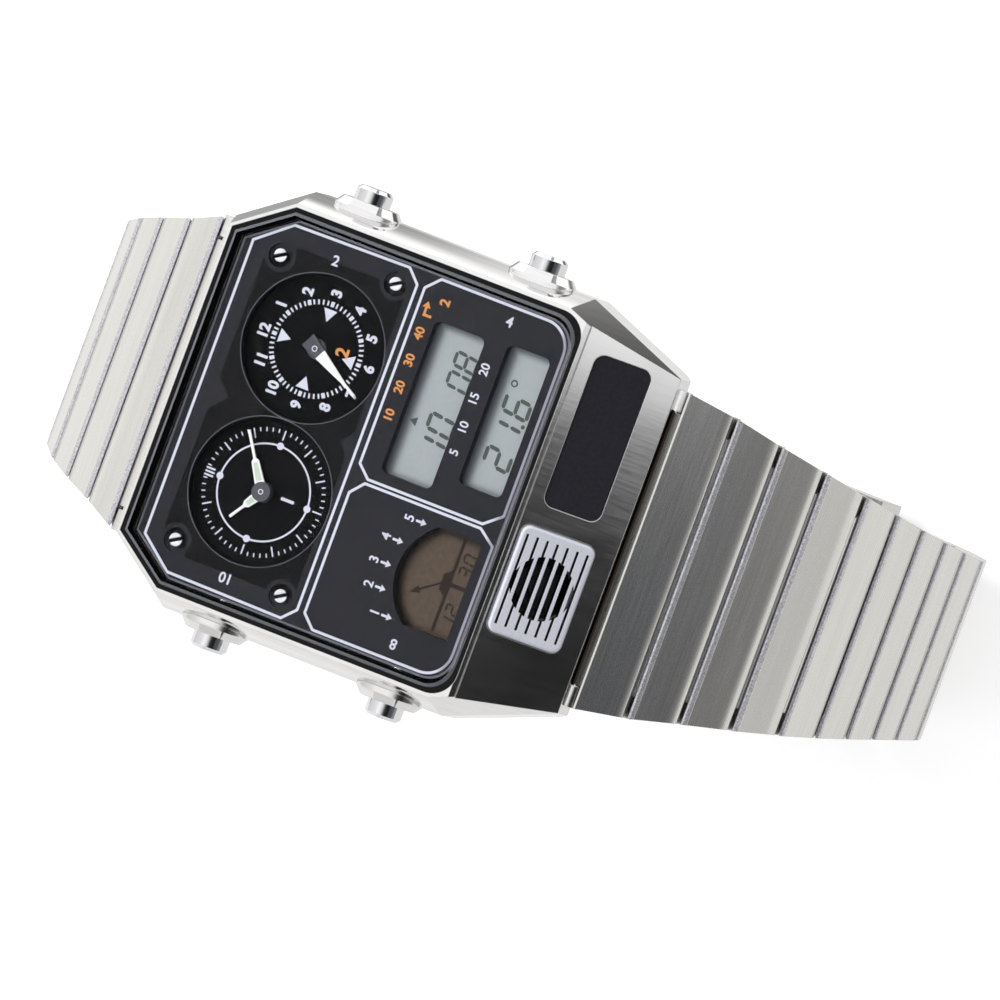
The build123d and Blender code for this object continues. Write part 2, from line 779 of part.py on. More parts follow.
def build_link(pivot, direction, tilt, near_width, far_width, open_end):
    """One link whose plate runs from its near pivot to the far one; an open end has no ears"""
    turn = math.radians(tilt)
    along = Vector(0, direction * math.cos(turn), -math.sin(turn))
    outwards = Vector(0, direction * math.sin(turn), math.cos(turn))
    profile = Plane(origin=pivot, x_dir=along, z_dir=along.cross(outwards))
    deck = Plane(origin=pivot, x_dir=along.cross(outwards), z_dir=outwards)
    half = link_thickness / 2
    near = link_gap / 2
    far = link_pitch - (open_end_gap if open_end else near)
    tube_half = near_width / 2 - ear_width - part_gap
    span_half = far_width / 2 - ear_width
    with BuildPart() as link:
        with BuildSketch(profile):
            with BuildLine():
                Polyline((near, half - link_edge), (near + link_edge, half), (far - link_edge, half),
                         (far, half - link_edge), (far, -half / 2), (far - link_relief, -half),
                         (near + link_relief, -half), (near, -half / 2), close=True)
            make_face()
        extrude(amount=near_width / 2, both=True)
        with BuildSketch(deck.offset(-half)):
            with BuildLine():
                Polyline((-near_width / 2, 0), (near_width / 2, 0),
                         (far_width / 2, link_pitch), (-far_width / 2, link_pitch), close=True)
            make_face()
        extrude(amount=link_thickness, mode=Mode.INTERSECT)
        with BuildSketch(profile):
            Circle(knuckle_radius + knuckle_gap)
        extrude(amount=near_width / 2, both=True, mode=Mode.SUBTRACT)
        with BuildSketch(profile):
            Circle(knuckle_radius)
            with Locations((knuckle_radius, 0)):
                Rectangle(2 * knuckle_radius, 2 * knuckle_radius)
            Circle(pin_radius + running_gap, mode=Mode.SUBTRACT)
        extrude(amount=tube_half, both=True)
        if not open_end:
            with BuildSketch(profile):
                with Locations((link_pitch, 0)):
                    Circle(knuckle_radius + knuckle_gap)
            extrude(amount=far_width / 2 - ear_width, both=True, mode=Mode.SUBTRACT)
            for ear_x in (-far_width / 2, span_half):
                with BuildSketch(profile.offset(ear_x)):
                    with Locations((link_pitch, 0)):
                        Circle(knuckle_radius)
                extrude(amount=ear_width)
            with BuildSketch(profile):
                with Locations((link_pitch, 0)):
                    Circle(pin_radius)
            extrude(amount=span_half, both=True)
    return link


open_end_gap = 0.9
foot_pivots = chain_pivots((lug_foot_y, lug_height), -1, foot_tilts)
top_pivots = chain_pivots((lug_top_y, lug_height), 1, top_tilts)
chains = {
    "foot": (foot_pivots, -1, foot_tilts, foot_width_shares),
    "top": (top_pivots, 1, top_tilts, top_width_shares),
}
for name, (pivots, direction, tilts, shares) in chains.items():
    for index, tilt in enumerate(tilts):
        is_open_end = name == "top" and index == len(tilts) - 1
        link = build_link(pivots[index], direction, tilt, width_at(shares[index]),
                          width_at(shares[index + 1]), is_open_end)
        save(link, f"{name}_link_{index + 1:02d}")

# Folding clasp: the blades and the cover lie on each other as arcs about one centre
clasp_radius = 76.0
cover_width = 16.0
cover_thickness = 0.8
cover_wall = 0.7
cover_depth = 2.9
cover_end_reach = 1.0
cover_plate_gap = 1.3
bar_ear_radius = 0.7
bar_depth = 1.6
blade_width = 12.0
blade_thickness = 0.7
blade_gap = 0.4
blade_knuckle_radius = 0.64
blade_pin_radius = 0.42
blade_ear_width = 1.6
blade_slot_width = 3.2
blade_slot_share = 0.55
outer_pivot_depth = 1.55
inner_pivot_depth = 2.1
band_pivot_depth = 2.65
outer_pivot_reach = 3.0
inner_pivot_reach = 4.0

band_end = foot_pivots[-1]
bar_place = top_pivots[-1]


def circle_centre(first, first_radius, second, second_radius):
    """The centre, above both points, of circles with these radii through them"""
    apart = (second - first).length
    along_share = (first_radius**2 - second_radius**2 + apart**2) / (2 * apart**2)
    height = math.sqrt(first_radius**2 - (along_share * apart) ** 2)
    chord = (second - first).normalized()
    return first + (second - first) * along_share + Vector(1, 0, 0).cross(chord) * height


clasp_centre = circle_centre(band_end, clasp_radius - band_pivot_depth, bar_place, clasp_radius - bar_depth)


def clasp_angle(place):
    """The angle of a place about the clasp's centre, from straight down towards 12 o'clock"""
    return math.atan2(place.Y - clasp_centre.Y, clasp_centre.Z - place.Z)


def on_clasp(depth, angle):
    """A point of the clasp's section, at a depth inside its outer face"""
    reach = clasp_radius - depth
    return (clasp_centre.Y + reach * math.sin(angle), clasp_centre.Z - reach * math.cos(angle))


def strip_outline(depth, thickness, start, end):
    """The section of a curved strip between two angles, to be added to a sketch"""
    middle = (start + end) / 2
    with BuildSketch() as section:
        with BuildLine():
            outer = ThreePointArc(on_clasp(depth, start), on_clasp(depth, middle), on_clasp(depth, end))
            inner = ThreePointArc(on_clasp(depth + thickness, end), on_clasp(depth + thickness, middle),
                                  on_clasp(depth + thickness, start))
            Line(outer @ 1, inner @ 0)
            Line(inner @ 1, outer @ 0)
        make_face()
    return section.sketch


band_angle = clasp_angle(band_end)
bar_angle = clasp_angle(bar_place)
outer_pivot_angle = band_angle + outer_pivot_reach / clasp_radius
inner_pivot_angle = bar_angle - inner_pivot_reach / clasp_radius
cover_start = outer_pivot_angle - cover_end_reach / clasp_radius
plate_end = bar_angle - cover_plate_gap / clasp_radius
ear_start = plate_end - cover_plate_gap / clasp_radius
bar_point = (bar_place.Y, bar_place.Z)
band_point = (band_end.Y, band_end.Z)
outer_pivot = on_clasp(outer_pivot_depth, outer_pivot_angle)
inner_pivot = on_clasp(inner_pivot_depth, inner_pivot_angle)
cover_inner_half = cover_width / 2 - cover_wall
blade_ear_inner = blade_width / 2 - blade_ear_width
long_blade_depth = cover_thickness + blade_gap
short_blade_depth = long_blade_depth + blade_thickness + blade_gap
blade_slot_length = blade_slot_share * (inner_pivot[0] - outer_pivot[0])
blade_slot_place = (0, (inner_pivot[0] + outer_pivot[0]) / 2, inner_pivot[1])

with BuildPart() as clasp_cover:
    with BuildSketch(Plane.YZ):
        add(strip_outline(0, cover_thickness, cover_start, plate_end))
    extrude(amount=cover_width / 2, both=True)
    for wall_x in (-cover_width / 2, cover_inner_half):
        with BuildSketch(Plane.YZ.offset(wall_x)):
            add(strip_outline(0, cover_depth, cover_start, plate_end))
            add(strip_outline(bar_depth - bar_ear_radius, 2 * bar_ear_radius, ear_start, bar_angle))
            with Locations(bar_point):
                Circle(bar_ear_radius)
        extrude(amount=cover_wall)
    with BuildSketch(Plane.YZ):
        with Locations(bar_point):
            Circle(pin_radius)
        with Locations(outer_pivot):
            Circle(blade_pin_radius)
    extrude(amount=cover_inner_half, both=True)
save(clasp_cover, "clasp_cover")

with BuildPart() as clasp_long_blade:
    with BuildSketch(Plane.YZ):
        add(strip_outline(long_blade_depth, blade_thickness, outer_pivot_angle, inner_pivot_angle))
    extrude(amount=blade_width / 2, both=True)
    with BuildSketch(Plane.YZ):
        with Locations(outer_pivot):
            Circle(blade_knuckle_radius)
    extrude(amount=cover_inner_half - part_gap, both=True)
    with BuildSketch(Plane.YZ):
        with Locations(outer_pivot):
            Circle(blade_pin_radius + running_gap)
    extrude(amount=cover_width, both=True, mode=Mode.SUBTRACT)
    with BuildSketch(Plane.YZ):
        with Locations(inner_pivot):
            Circle(blade_knuckle_radius + knuckle_gap)
    extrude(amount=blade_ear_inner, both=True, mode=Mode.SUBTRACT)
    for ear_x in (-blade_width / 2, blade_ear_inner):
        with BuildSketch(Plane.YZ.offset(ear_x)):
            with Locations(inner_pivot):
                Circle(blade_knuckle_radius)
        extrude(amount=blade_ear_width)
    with BuildSketch(Plane.YZ):
        with Locations(inner_pivot):
            Circle(blade_pin_radius)
    extrude(amount=blade_ear_inner, both=True)
    with BuildSketch(Plane(origin=blade_slot_place, x_dir=(0, 1, 0), z_dir=(0, 0, 1))):
        SlotOverall(blade_slot_length, blade_slot_width)
    extrude(amount=clasp_radius, both=True, mode=Mode.SUBTRACT)
save(clasp_long_blade, "clasp_long_blade")

band_tube_half = width_at(foot_width_shares[-1]) / 2 - ear_width - part_gap
tube_root = 2 * knuckle_radius / clasp_radius

with BuildPart() as clasp_short_blade:
    with BuildSketch(Plane.YZ):
        add(strip_outline(short_blade_depth, blade_thickness, band_angle, inner_pivot_angle))
        with Locations(inner_pivot):
            Circle(blade_knuckle_radius + knuckle_gap, mode=Mode.SUBTRACT)
        with Locations(band_point):
            Circle(knuckle_radius + knuckle_gap, mode=Mode.SUBTRACT)
    extrude(amount=blade_width / 2, both=True)
    with BuildSketch(Plane.YZ):
        add(strip_outline(short_blade_depth, blade_thickness, inner_pivot_angle - tube_root,
                          inner_pivot_angle))
        with Locations(inner_pivot):
            Circle(blade_knuckle_radius)
            Circle(blade_pin_radius + running_gap, mode=Mode.SUBTRACT)
    extrude(amount=blade_ear_inner - part_gap, both=True)
    with BuildSketch(Plane.YZ):
        add(strip_outline(short_blade_depth, blade_thickness, band_angle, band_angle + tube_root))
        with Locations(band_point):
            Circle(knuckle_radius)
            Circle(pin_radius + running_gap, mode=Mode.SUBTRACT)
    extrude(amount=band_tube_half, both=True)
save(clasp_short_blade, "clasp_short_blade")
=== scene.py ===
import json
import math

import bmesh
import bpy
from mathutils import Matrix, Vector


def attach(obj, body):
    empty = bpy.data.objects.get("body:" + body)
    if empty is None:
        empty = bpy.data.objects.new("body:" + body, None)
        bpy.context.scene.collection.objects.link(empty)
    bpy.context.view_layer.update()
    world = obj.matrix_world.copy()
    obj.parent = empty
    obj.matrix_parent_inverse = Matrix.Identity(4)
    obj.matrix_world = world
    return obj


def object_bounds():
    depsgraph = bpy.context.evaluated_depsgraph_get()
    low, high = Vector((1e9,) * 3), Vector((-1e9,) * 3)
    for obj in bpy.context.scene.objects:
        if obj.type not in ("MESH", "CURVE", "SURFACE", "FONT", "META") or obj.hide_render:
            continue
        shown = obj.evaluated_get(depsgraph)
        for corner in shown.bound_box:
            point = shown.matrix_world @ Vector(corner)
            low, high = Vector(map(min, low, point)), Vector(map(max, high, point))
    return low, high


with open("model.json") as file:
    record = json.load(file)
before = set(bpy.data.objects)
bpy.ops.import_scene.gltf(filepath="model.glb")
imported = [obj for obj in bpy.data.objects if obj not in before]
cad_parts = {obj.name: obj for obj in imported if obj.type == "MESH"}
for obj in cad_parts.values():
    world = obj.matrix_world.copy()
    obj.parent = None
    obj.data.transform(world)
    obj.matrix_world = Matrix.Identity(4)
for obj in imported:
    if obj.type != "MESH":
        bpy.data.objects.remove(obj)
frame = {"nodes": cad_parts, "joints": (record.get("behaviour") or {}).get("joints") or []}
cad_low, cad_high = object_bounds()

mm = 0.001

# The photographer's table: a white acrylic sheet under the watch in a white tent, with a dark
# slot over the 6 o'clock side for the camera. Steel mirrors the tent, so the tent shades it.
bpy.context.scene.view_settings.view_transform = "Standard"


def colour(hex_text):
    """An sRGB hex colour as the linear colour that Blender works in"""
    parts = [int(hex_text[i:i + 2], 16) / 255 for i in (1, 3, 5)]
    return tuple(p / 12.92 if p <= 0.04045 else ((p + 0.055) / 1.055) ** 2.4 for p in parts) + (1.0,)


def node(tree, kind, settings=None, links=None):
    """Adds one node: its settings by name or socket, and what is linked to its sockets"""
    made = tree.nodes.new(kind)
    for key, value in (settings or {}).items():
        if isinstance(key, int) or key in made.inputs:
            made.inputs[key].default_value = value
        else:
            setattr(made, key, value)
    for key, source in (links or {}).items():
        tree.links.new(source, made.inputs[key])
    return made


def maths(tree, operation, first, *others):
    """One operation taken from left to right over numbers and outputs"""
    for second in others or (0.0,):
        made = node(tree, "ShaderNodeMath", {"operation": operation})
        for place, value in enumerate((first, second)):
            if isinstance(value, (int, float)):
                made.inputs[place].default_value = value
            else:
                tree.links.new(value, made.inputs[place])
        first = made.outputs[0]
    return first


def spread(tree, source, low, high, at_low, at_high, kind="LINEAR"):
    """A value moved from one range to another and held at its ends"""
    return node(tree, "ShaderNodeMapRange",
                {"interpolation_type": kind, "From Min": low, "From Max": high, "To Min": at_low,
                 "To Max": at_high}, {"Value": source}).outputs[0]


def blend(tree, factor, first, second):
    """Two colours, each a colour or an output, mixed by a factor"""
    made = node(tree, "ShaderNodeMix", {"data_type": "RGBA"}, {0: factor})
    for place, value in ((6, first), (7, second)):
        if isinstance(value, tuple):
            made.inputs[place].default_value = value
        else:
            tree.links.new(value, made.inputs[place])
    return made.outputs[2]


def ramp(tree, source, stops):
    """A colour ramp with a stop of (position, grey, hex or colour) for each place"""
    made = node(tree, "ShaderNodeValToRGB", links={0: source})
    stop_list = made.color_ramp.elements
    while len(stop_list) < len(stops):
        stop_list.new(1.0)
    for stop, (position, value) in zip(stop_list, stops):
        if isinstance(value, str):
            value = colour(value)
        stop.position = position
        stop.color = value if isinstance(value, tuple) else (value, value, value, 1)
    return made.outputs[0]


def axes(tree, source):
    """The X, Y and Z of a vector"""
    return node(tree, "ShaderNodeSeparateXYZ", links={0: source}).outputs


def own_place(tree):
    """Places in the piece's own metres, so that every pattern keeps its real size"""
    return node(tree, "ShaderNodeTexCoord").outputs["Object"]


def face_normal(tree):
    """The X, Y and Z of the flat face's normal"""
    return axes(tree, node(tree, "ShaderNodeNewGeometry").outputs["True Normal"])


def away_from(tree, place, centre):
    """A place seen from a centre"""
    return node(tree, "ShaderNodeVectorMath", {"operation": "SUBTRACT", 1: centre}, {0: place}).outputs[0]


def flat_length(tree, place):
    """How far a place lies from zero in its own XY plane"""
    flat = node(tree, "ShaderNodeVectorMath", {"operation": "MULTIPLY", 1: (1, 1, 0)}, {0: place})
    return node(tree, "ShaderNodeVectorMath", {"operation": "LENGTH"}, {0: flat.outputs[0]}).outputs["Value"]


def noise(tree, place, scale, detail, roughness=0.5):
    """A noise with one scale, or stretched by one for each axis"""
    if isinstance(scale, tuple):
        place = node(tree, "ShaderNodeMapping", {"Scale": scale}, {0: place}).outputs[0]
        scale = 1.0
    return node(tree, "ShaderNodeTexNoise", {"Scale": scale, "Detail": detail, "Roughness": roughness},
                {0: place}).outputs["Fac"]


def rounded(tree, radius_mm):
    """A normal that rounds every edge by a radius"""
    return node(tree, "ShaderNodeBevel", {"samples": 6, "Radius": radius_mm * mm}).outputs[0]


def embossed(tree, height, normal=None):
    """A normal bent by a height in metres"""
    links = {"Height": height} if normal is None else {"Height": height, "Normal": normal}
    return node(tree, "ShaderNodeBump", {"Distance": 1.0}, links).outputs[0]


def new_material(name):
    """An empty material and its tree, ready for nodes"""
    material = bpy.data.materials.new(name)
    material.use_nodes = True
    material.node_tree.nodes.clear()
    return material, material.node_tree


def surface(tree, settings, links):
    """One principled surface as all that the material shows"""
    skin = node(tree, "ShaderNodeBsdfPrincipled", settings, links)
    node(tree, "ShaderNodeOutputMaterial", links={0: skin.outputs[0]})


room = bpy.data.worlds.new("white_tent")
bpy.context.scene.world = room
room.use_nodes = True
tree = room.node_tree
tree.nodes.clear()
facing = axes(tree, node(tree, "ShaderNodeTexCoord").outputs["Generated"])
arc = maths(tree, "ABSOLUTE", maths(tree, "ARCTAN2", facing["Z"], facing["Y"]))
arc = maths(tree, "DIVIDE", arc, math.pi)
tent = ramp(tree, arc, [
    (0.0, 0.8), (0.3, 1.0), (0.4, 1.25), (0.5, 0.95), (0.6, 0.08), (0.66, 0.02), (0.74, 0.015),
    (0.79, (0.085, 0.09, 0.105, 1)), (0.88, (0.1, 0.105, 0.12, 1)), (0.925, 0.205), (0.95, 0.295),
    (1.0, 0.3)])
slot_foot, slot_end = 0.76, 0.84
side_start, side_full = 0.07, 0.175
low_start, low_full, low_share = -0.03, 0.16, 0.17
side_light, soft_light, backdrop = (1.3, 1.3, 1.34, 1), (0.38, 0.38, 0.39, 1), (1.0, 1.0, 1.0, 1.0)
side = maths(tree, "MULTIPLY", spread(tree, facing["X"], side_start, side_full, 0.0, 1.0, "SMOOTHSTEP"),
             spread(tree, arc, slot_foot, slot_end, 1.0, 0.0))
low_side = maths(tree, "MULTIPLY", spread(tree, facing["X"], low_start, low_full, 0.0, low_share),
                 spread(tree, arc, slot_foot, slot_end, 0.0, 1.0))
tent = blend(tree, maths(tree, "MAXIMUM", side, low_side), tent, side_light)
ray = node(tree, "ShaderNodeLightPath").outputs
lit = blend(tree, ray["Is Glossy Ray"], soft_light, tent)
seen = maths(tree, "MAXIMUM", ray["Is Camera Ray"], ray["Is Transmission Ray"])
air = node(tree, "ShaderNodeBackground", links={0: blend(tree, seen, lit, backdrop)})
node(tree, "ShaderNodeOutputWorld", links={0: air.outputs[0]})

# Two dark flags lie on the sheet, for the faces that mirror it: each has its centre, the edges
# of its soft rim and its darkest level. The sheet brightens towards 12 and 3 o'clock.
sheet_half, sheet_glow = 0.9, 0.55
table_flags = (((0.066, -0.016), 0.012, 0.03, 0.11), ((0.028, 0.036), 0.01, 0.028, 0.42))
table_height = cad_low.z - 0.05 * mm
table_mesh = bpy.data.meshes.new("table_sheet")
table_mesh.from_pydata([(x * sheet_half, y * sheet_half, table_height)
                        for x, y in ((-1, -1), (1, -1), (1, 1), (-1, 1))], [], [(0, 1, 2, 3)])
table_sheet = bpy.data.objects.new("table_sheet", table_mesh)
bpy.context.scene.collection.objects.link(table_sheet)
acrylic, tree = new_material("white_acrylic")
ray = node(tree, "ShaderNodeLightPath").outputs
place = own_place(tree)
spot = axes(tree, place)
level = maths(tree, "ADD", spread(tree, spot["Y"], 0.0, 0.07, 0.92, 1.08),
              spread(tree, spot["X"], 0.035, 0.075, 0.0, 0.55, "SMOOTHSTEP"))
for centre, near, far, darkest in table_flags:
    flag = node(tree, "ShaderNodeVectorMath",
                {"operation": "DISTANCE", 1: (*centre, table_height)}, {0: place})
    level = maths(tree, "MULTIPLY", level,
                  spread(tree, flag.outputs["Value"], near, far, darkest, 1.0, "SMOOTHSTEP"))
mirrored = node(tree, "ShaderNodeEmission", links={"Strength": level})
matt = node(tree, "ShaderNodeBsdfDiffuse", {"Color": (0.86, 0.86, 0.86, 1)})
glow = node(tree, "ShaderNodeEmission",
            links={"Strength": maths(tree, "MULTIPLY", ray["Is Camera Ray"], sheet_glow)})
lifted = node(tree, "ShaderNodeAddShader", links={0: matt.outputs[0], 1: glow.outputs[0]})
both = node(tree, "ShaderNodeMixShader",
            links={0: ray["Is Glossy Ray"], 1: lifted.outputs[0], 2: mirrored.outputs[0]})
node(tree, "ShaderNodeOutputMaterial", links={0: both.outputs[0]})
table_mesh.materials.append(acrylic)

for name, place, size, power in (
    ("twelve_softbox", (0.12, 0.42, 0.5), 0.3, 3.0),
    ("overhead_softbox", (-0.1, 0.0, 0.6), 0.5, 1.0),
):
    lamp = bpy.data.lights.new(name, "AREA")
    lamp.size = size
    lamp.energy = power
    holder = bpy.data.objects.new(name, lamp)
    holder.location = place
    holder.rotation_mode = "QUATERNION"
    holder.rotation_quaternion = Vector(place).to_track_quat("Z", "Y")
    holder.visible_glossy = False
    bpy.context.scene.collection.objects.link(holder)

# The camera looks down on the dial from the 6 o'clock side through a long lens.
# Its turn puts 12 o'clock to the left of the picture, as the photographer laid the watch.
camera_right = Vector((0.34632, -0.88584, -0.3088)).normalized()
camera_back = camera_right.cross(Vector((0.93699, 0.34279, 0.0675))).normalized()
camera_up = camera_back.cross(camera_right)
camera_target = Vector((0.175, -9.488, 7.193)) * mm
camera_distance = 2.0
picture_width_mm = 1000 / 13.794
lens = bpy.data.cameras.new("long_lens")
lens.sensor_width = 36
lens.lens = lens.sensor_width * camera_distance / (picture_width_mm * mm)
lens.clip_end = 10
camera = bpy.data.objects.new("camera", lens)
camera.matrix_world = Matrix.Translation(camera_target + camera_back * camera_distance) @ Matrix(
    (camera_right, camera_up, camera_back)).transposed().to_4x4()
bpy.context.scene.collection.objects.link(camera)
bpy.context.scene.camera = camera

# The case middle and its back: stainless steel, milled, brushed on the faces that look up and
# polished on the flanks. The long faces are a little crowned and the flanks bellied, the bezel
# rolls off at its foot, the crystal's seat is coloured black, and painted shade blacks out the sensor's
# pocket.
faces_up, faces_aside = 0.9, 0.93
crown_bend, belly_bend, streak_height = -4.2, -44.0, 2.4e-8
belly_height = 6.3 * mm
roll_foot, roll_start, roll_fall = -11.75 * mm, -11.3 * mm, 0.5
seat_low, seat_high = 6 * mm, 7.6 * mm
grille_centre = Vector((-4.806, -14.505, 6.423)) * mm
slope_turn = math.radians(29)
pocket_reach, pocket_top = 2.3 * mm, -0.05 * mm


def finish_node(name, material):
    """Gives a CAD node its real finish"""
    mesh = frame["nodes"][name].data
    mesh.materials.clear()
    mesh.materials.append(material)


def on_slope(tree, place):
    """A place seen from the grille's centre, with the sloping panel laid flat"""
    return node(tree, "ShaderNodeVectorRotate", {"rotation_type": "X_AXIS", "Angle": -slope_turn},
                {"Vector": away_from(tree, place, grille_centre)}).outputs[0]


case_steel, tree = new_material("case_steel_brushed_and_polished")
place = own_place(tree)
away = axes(tree, place)
looks = face_normal(tree)
flank = spread(tree, maths(tree, "ABSOLUTE", looks["X"]), 0.5, 0.6, 0.0, 1.0)
lines = noise(tree, place, (4200.0, 240.0, 240.0), 5.0, 0.65)
smudge = noise(tree, place, 160.0, 3.0)
rough = maths(tree, "ADD", spread(tree, lines, 0.3, 0.7, 0.15, 0.2),
              spread(tree, smudge, 0.4, 0.7, 0.0, 0.05))
rough = node(tree, "ShaderNodeMix", {"data_type": "FLOAT", 3: 0.06}, {0: flank, 2: rough}).outputs[0]
crown = maths(tree, "MULTIPLY", away["X"], away["X"], crown_bend)
rise = maths(tree, "SUBTRACT", away["Z"], belly_height)
long_flank = maths(tree, "GREATER_THAN", maths(tree, "ABSOLUTE", looks["X"]), faces_aside)
belly = maths(tree, "MULTIPLY", rise, rise, belly_bend, long_flank)
rolled = spread(tree, away["Y"], roll_foot, roll_start, roll_fall * (roll_foot - roll_start), 0.0)
rolled = maths(tree, "MULTIPLY", rolled, maths(tree, "GREATER_THAN", looks["Z"], faces_up))
relief = maths(tree, "ADD", crown, belly, rolled, maths(tree, "MULTIPLY", lines, streak_height))
# The crystal's seat is coloured black. The black inside the sensor's pocket, under the grille, is painted
# shade.
seat = maths(tree, "MULTIPLY", maths(tree, "GREATER_THAN", looks["Z"], faces_up),
             maths(tree, "LESS_THAN", away["Z"], seat_high), maths(tree, "GREATER_THAN", away["Z"], seat_low))
lying = on_slope(tree, place)
pocket_painted_shade = maths(tree, "MULTIPLY", maths(tree, "LESS_THAN", flat_length(tree, lying), pocket_reach),
               maths(tree, "LESS_THAN", axes(tree, lying)["Z"], pocket_top))
black_seat_and_pocket_shade = maths(tree, "MAXIMUM", seat, pocket_painted_shade)
tone = ramp(tree, lines, [(0.3, "#d5d4d2"), (0.7, "#e1e0de")])
surface(tree, {}, {
    "Metallic": maths(tree, "SUBTRACT", 1.0, black_seat_and_pocket_shade),
    "Base Color": blend(tree, black_seat_and_pocket_shade, tone, colour("#0a0a0b")),
    "Roughness": rough, "Normal": embossed(tree, relief, rounded(tree, 0.09))})
finish_node("case_middle", case_steel)
finish_node("case_back", case_steel)

# The bracelet: plates of folded steel strip, brushed across the band, with a bead-blasted ledge
# where each tucks under the one before and a rolled far edge. They hinge on tubes and pins. Each
# link gives the look its own hinge and turn. The first foot link has no ledge; in the gap under the
# case's slope its knuckle takes a dark tone that is grime and painted shade.
ledge_start, ledge_end, ledge_fade = 0.02 * mm, 0.52 * mm, 0.58 * mm
edge_start, edge_roll, plate_crown = 2.9 * mm, -1.5e5, -2.2
grime_and_shade_start, grime_and_shade_end = -0.3 * mm, 0.1 * mm
streak_height, grain_height = 1.5e-7, 2.2e-5
look = bpy.data.node_groups.new("brushed_link_look", "ShaderNodeTree")
for label, way, kind in (("Pivot", "INPUT", "Vector"), ("Turn", "INPUT", "Float"),
                         ("Ledge", "INPUT", "Float"), ("Colour", "OUTPUT", "Color"),
                         ("Roughness", "OUTPUT", "Float"), ("Normal", "OUTPUT", "Vector")):
    look.interface.new_socket(label, in_out=way, socket_type="NodeSocket" + kind)
given = node(look, "NodeGroupInput").outputs
place = own_place(look)
moved = node(look, "ShaderNodeVectorMath", {"operation": "SUBTRACT"}, {0: place, 1: given["Pivot"]})
lying = node(look, "ShaderNodeVectorRotate", {"rotation_type": "X_AXIS"},
             {"Vector": moved.outputs[0], "Angle": given["Turn"]}).outputs[0]
along = axes(look, lying)["Y"]
streaks = noise(look, place, (140.0, 5200.0, 5200.0), 6.0, 0.68)
wide_streaks = noise(look, place, (45.0, 900.0, 900.0), 3.0)
grains = noise(look, place, 8000.0, 2.0)
ledge = maths(look, "MULTIPLY", spread(look, along, ledge_end, ledge_fade, 1.0, 0.0),
              maths(look, "GREATER_THAN", along, ledge_start), given["Ledge"])
past = maths(look, "MAXIMUM", maths(look, "SUBTRACT", along, edge_start), 0.0)
rolled = maths(look, "MULTIPLY", maths(look, "POWER", past, 3.0), edge_roll)
across = axes(look, place)["X"]
crown = maths(look, "MULTIPLY", across, across, plate_crown)
relief = maths(look, "ADD", rolled, crown, maths(look, "MULTIPLY", streaks, streak_height),
               maths(look, "MULTIPLY", grains, ledge, grain_height))
mixed = maths(look, "ADD", maths(look, "MULTIPLY", streaks, 0.65),
              maths(look, "MULTIPLY", wide_streaks, 0.35))
plate = ramp(look, mixed, [(0.3, "#d3d1cb"), (0.7, "#e4e2dd")])
blasted = ramp(look, grains, [(0.35, "#b6b6ba"), (0.65, "#e4e4e8")])
rough = spread(look, streaks, 0.3, 0.7, 0.24, 0.3)
rough = node(look, "ShaderNodeMix", {"data_type": "FLOAT", 3: 0.5}, {0: ledge, 2: rough}).outputs[0]
# The first foot link's knuckle, in the gap under the case's slope: a dark grime tone with painted shade.
grime_and_shade = maths(look, "MULTIPLY", maths(look, "SUBTRACT", 1.0, given["Ledge"]),
              spread(look, along, grime_and_shade_start, grime_and_shade_end, 1.0, 0.0))
tone = blend(look, grime_and_shade, blend(look, ledge, plate, blasted), colour("#2b2520"))
node(look, "NodeGroupOutput", links={
    "Colour": tone, "Roughness": rough, "Normal": embossed(look, relief, rounded(look, 0.07))})

for side, direction in (("foot", -1), ("top", 1)):
    tilt = 0
    for joint in frame["joints"]:
        if not joint["child"].startswith(f"{side}_link_"):
            continue
        tilt += joint["range_deg"][1]
        band_steel, tree = new_material("brushed_band_steel_" + joint["child"])
        own = node(tree, "ShaderNodeGroup", {"node_tree": look})
        own.inputs["Pivot"].default_value = joint["pos_m"]
        own.inputs["Turn"].default_value = math.radians(tilt if direction > 0 else 180 - tilt)
        own.inputs["Ledge"].default_value = 0.0 if joint["child"] == "foot_link_01" else 1.0
        surface(tree, {"Metallic": 1.0}, {
            "Base Color": own.outputs["Colour"], "Roughness": own.outputs["Roughness"],
            "Normal": own.outputs["Normal"]})
        finish_node(joint["child"], band_steel)

# The folding clasp: the cover and its blades are pressed from steel sheet, brushed lengthwise.
streak_height = 6e-7
clasp_steel, tree = new_material("clasp_steel_brushed")
streaks = noise(tree, own_place(tree), (4200.0, 80.0, 80.0), 6.0, 0.68)
relief = maths(tree, "MULTIPLY", streaks, streak_height)
surface(tree, {"Metallic": 1.0}, {
    "Base Color": ramp(tree, streaks, [(0.32, "#c9c7c3"), (0.68, "#e4e2de")]),
    "Roughness": spread(tree, streaks, 0.3, 0.7, 0.2, 0.32),
    "Normal": embossed(tree, relief, rounded(tree, 0.12))})
for name in ("clasp_cover", "clasp_long_blade", "clasp_short_blade"):
    finish_node(name, clasp_steel)

# Small turned and pressed steel pieces: pushers, bars, springs and the battery's can. They are
# polished on a wheel, which leaves a faint mottle. The dial screws are duller, and painted shade darkens
# their slots.
polished_steel, tree = new_material("polished_steel")
mottle = noise(tree, own_place(tree), 1400.0, 3.0)
surface(tree, {"Base Color": colour("#dfdfe1"), "Metallic": 1.0}, {
    "Roughness": spread(tree, mottle, 0.3, 0.7, 0.05, 0.11), "Normal": rounded(tree, 0.05)})
for name in ("pusher_2_oclock", "pusher_4_oclock", "pusher_8_oclock", "pusher_10_oclock",
             "back_screws", "spring_bars", "switch_springs", "battery", "battery_clip"):
    finish_node(name, polished_steel)

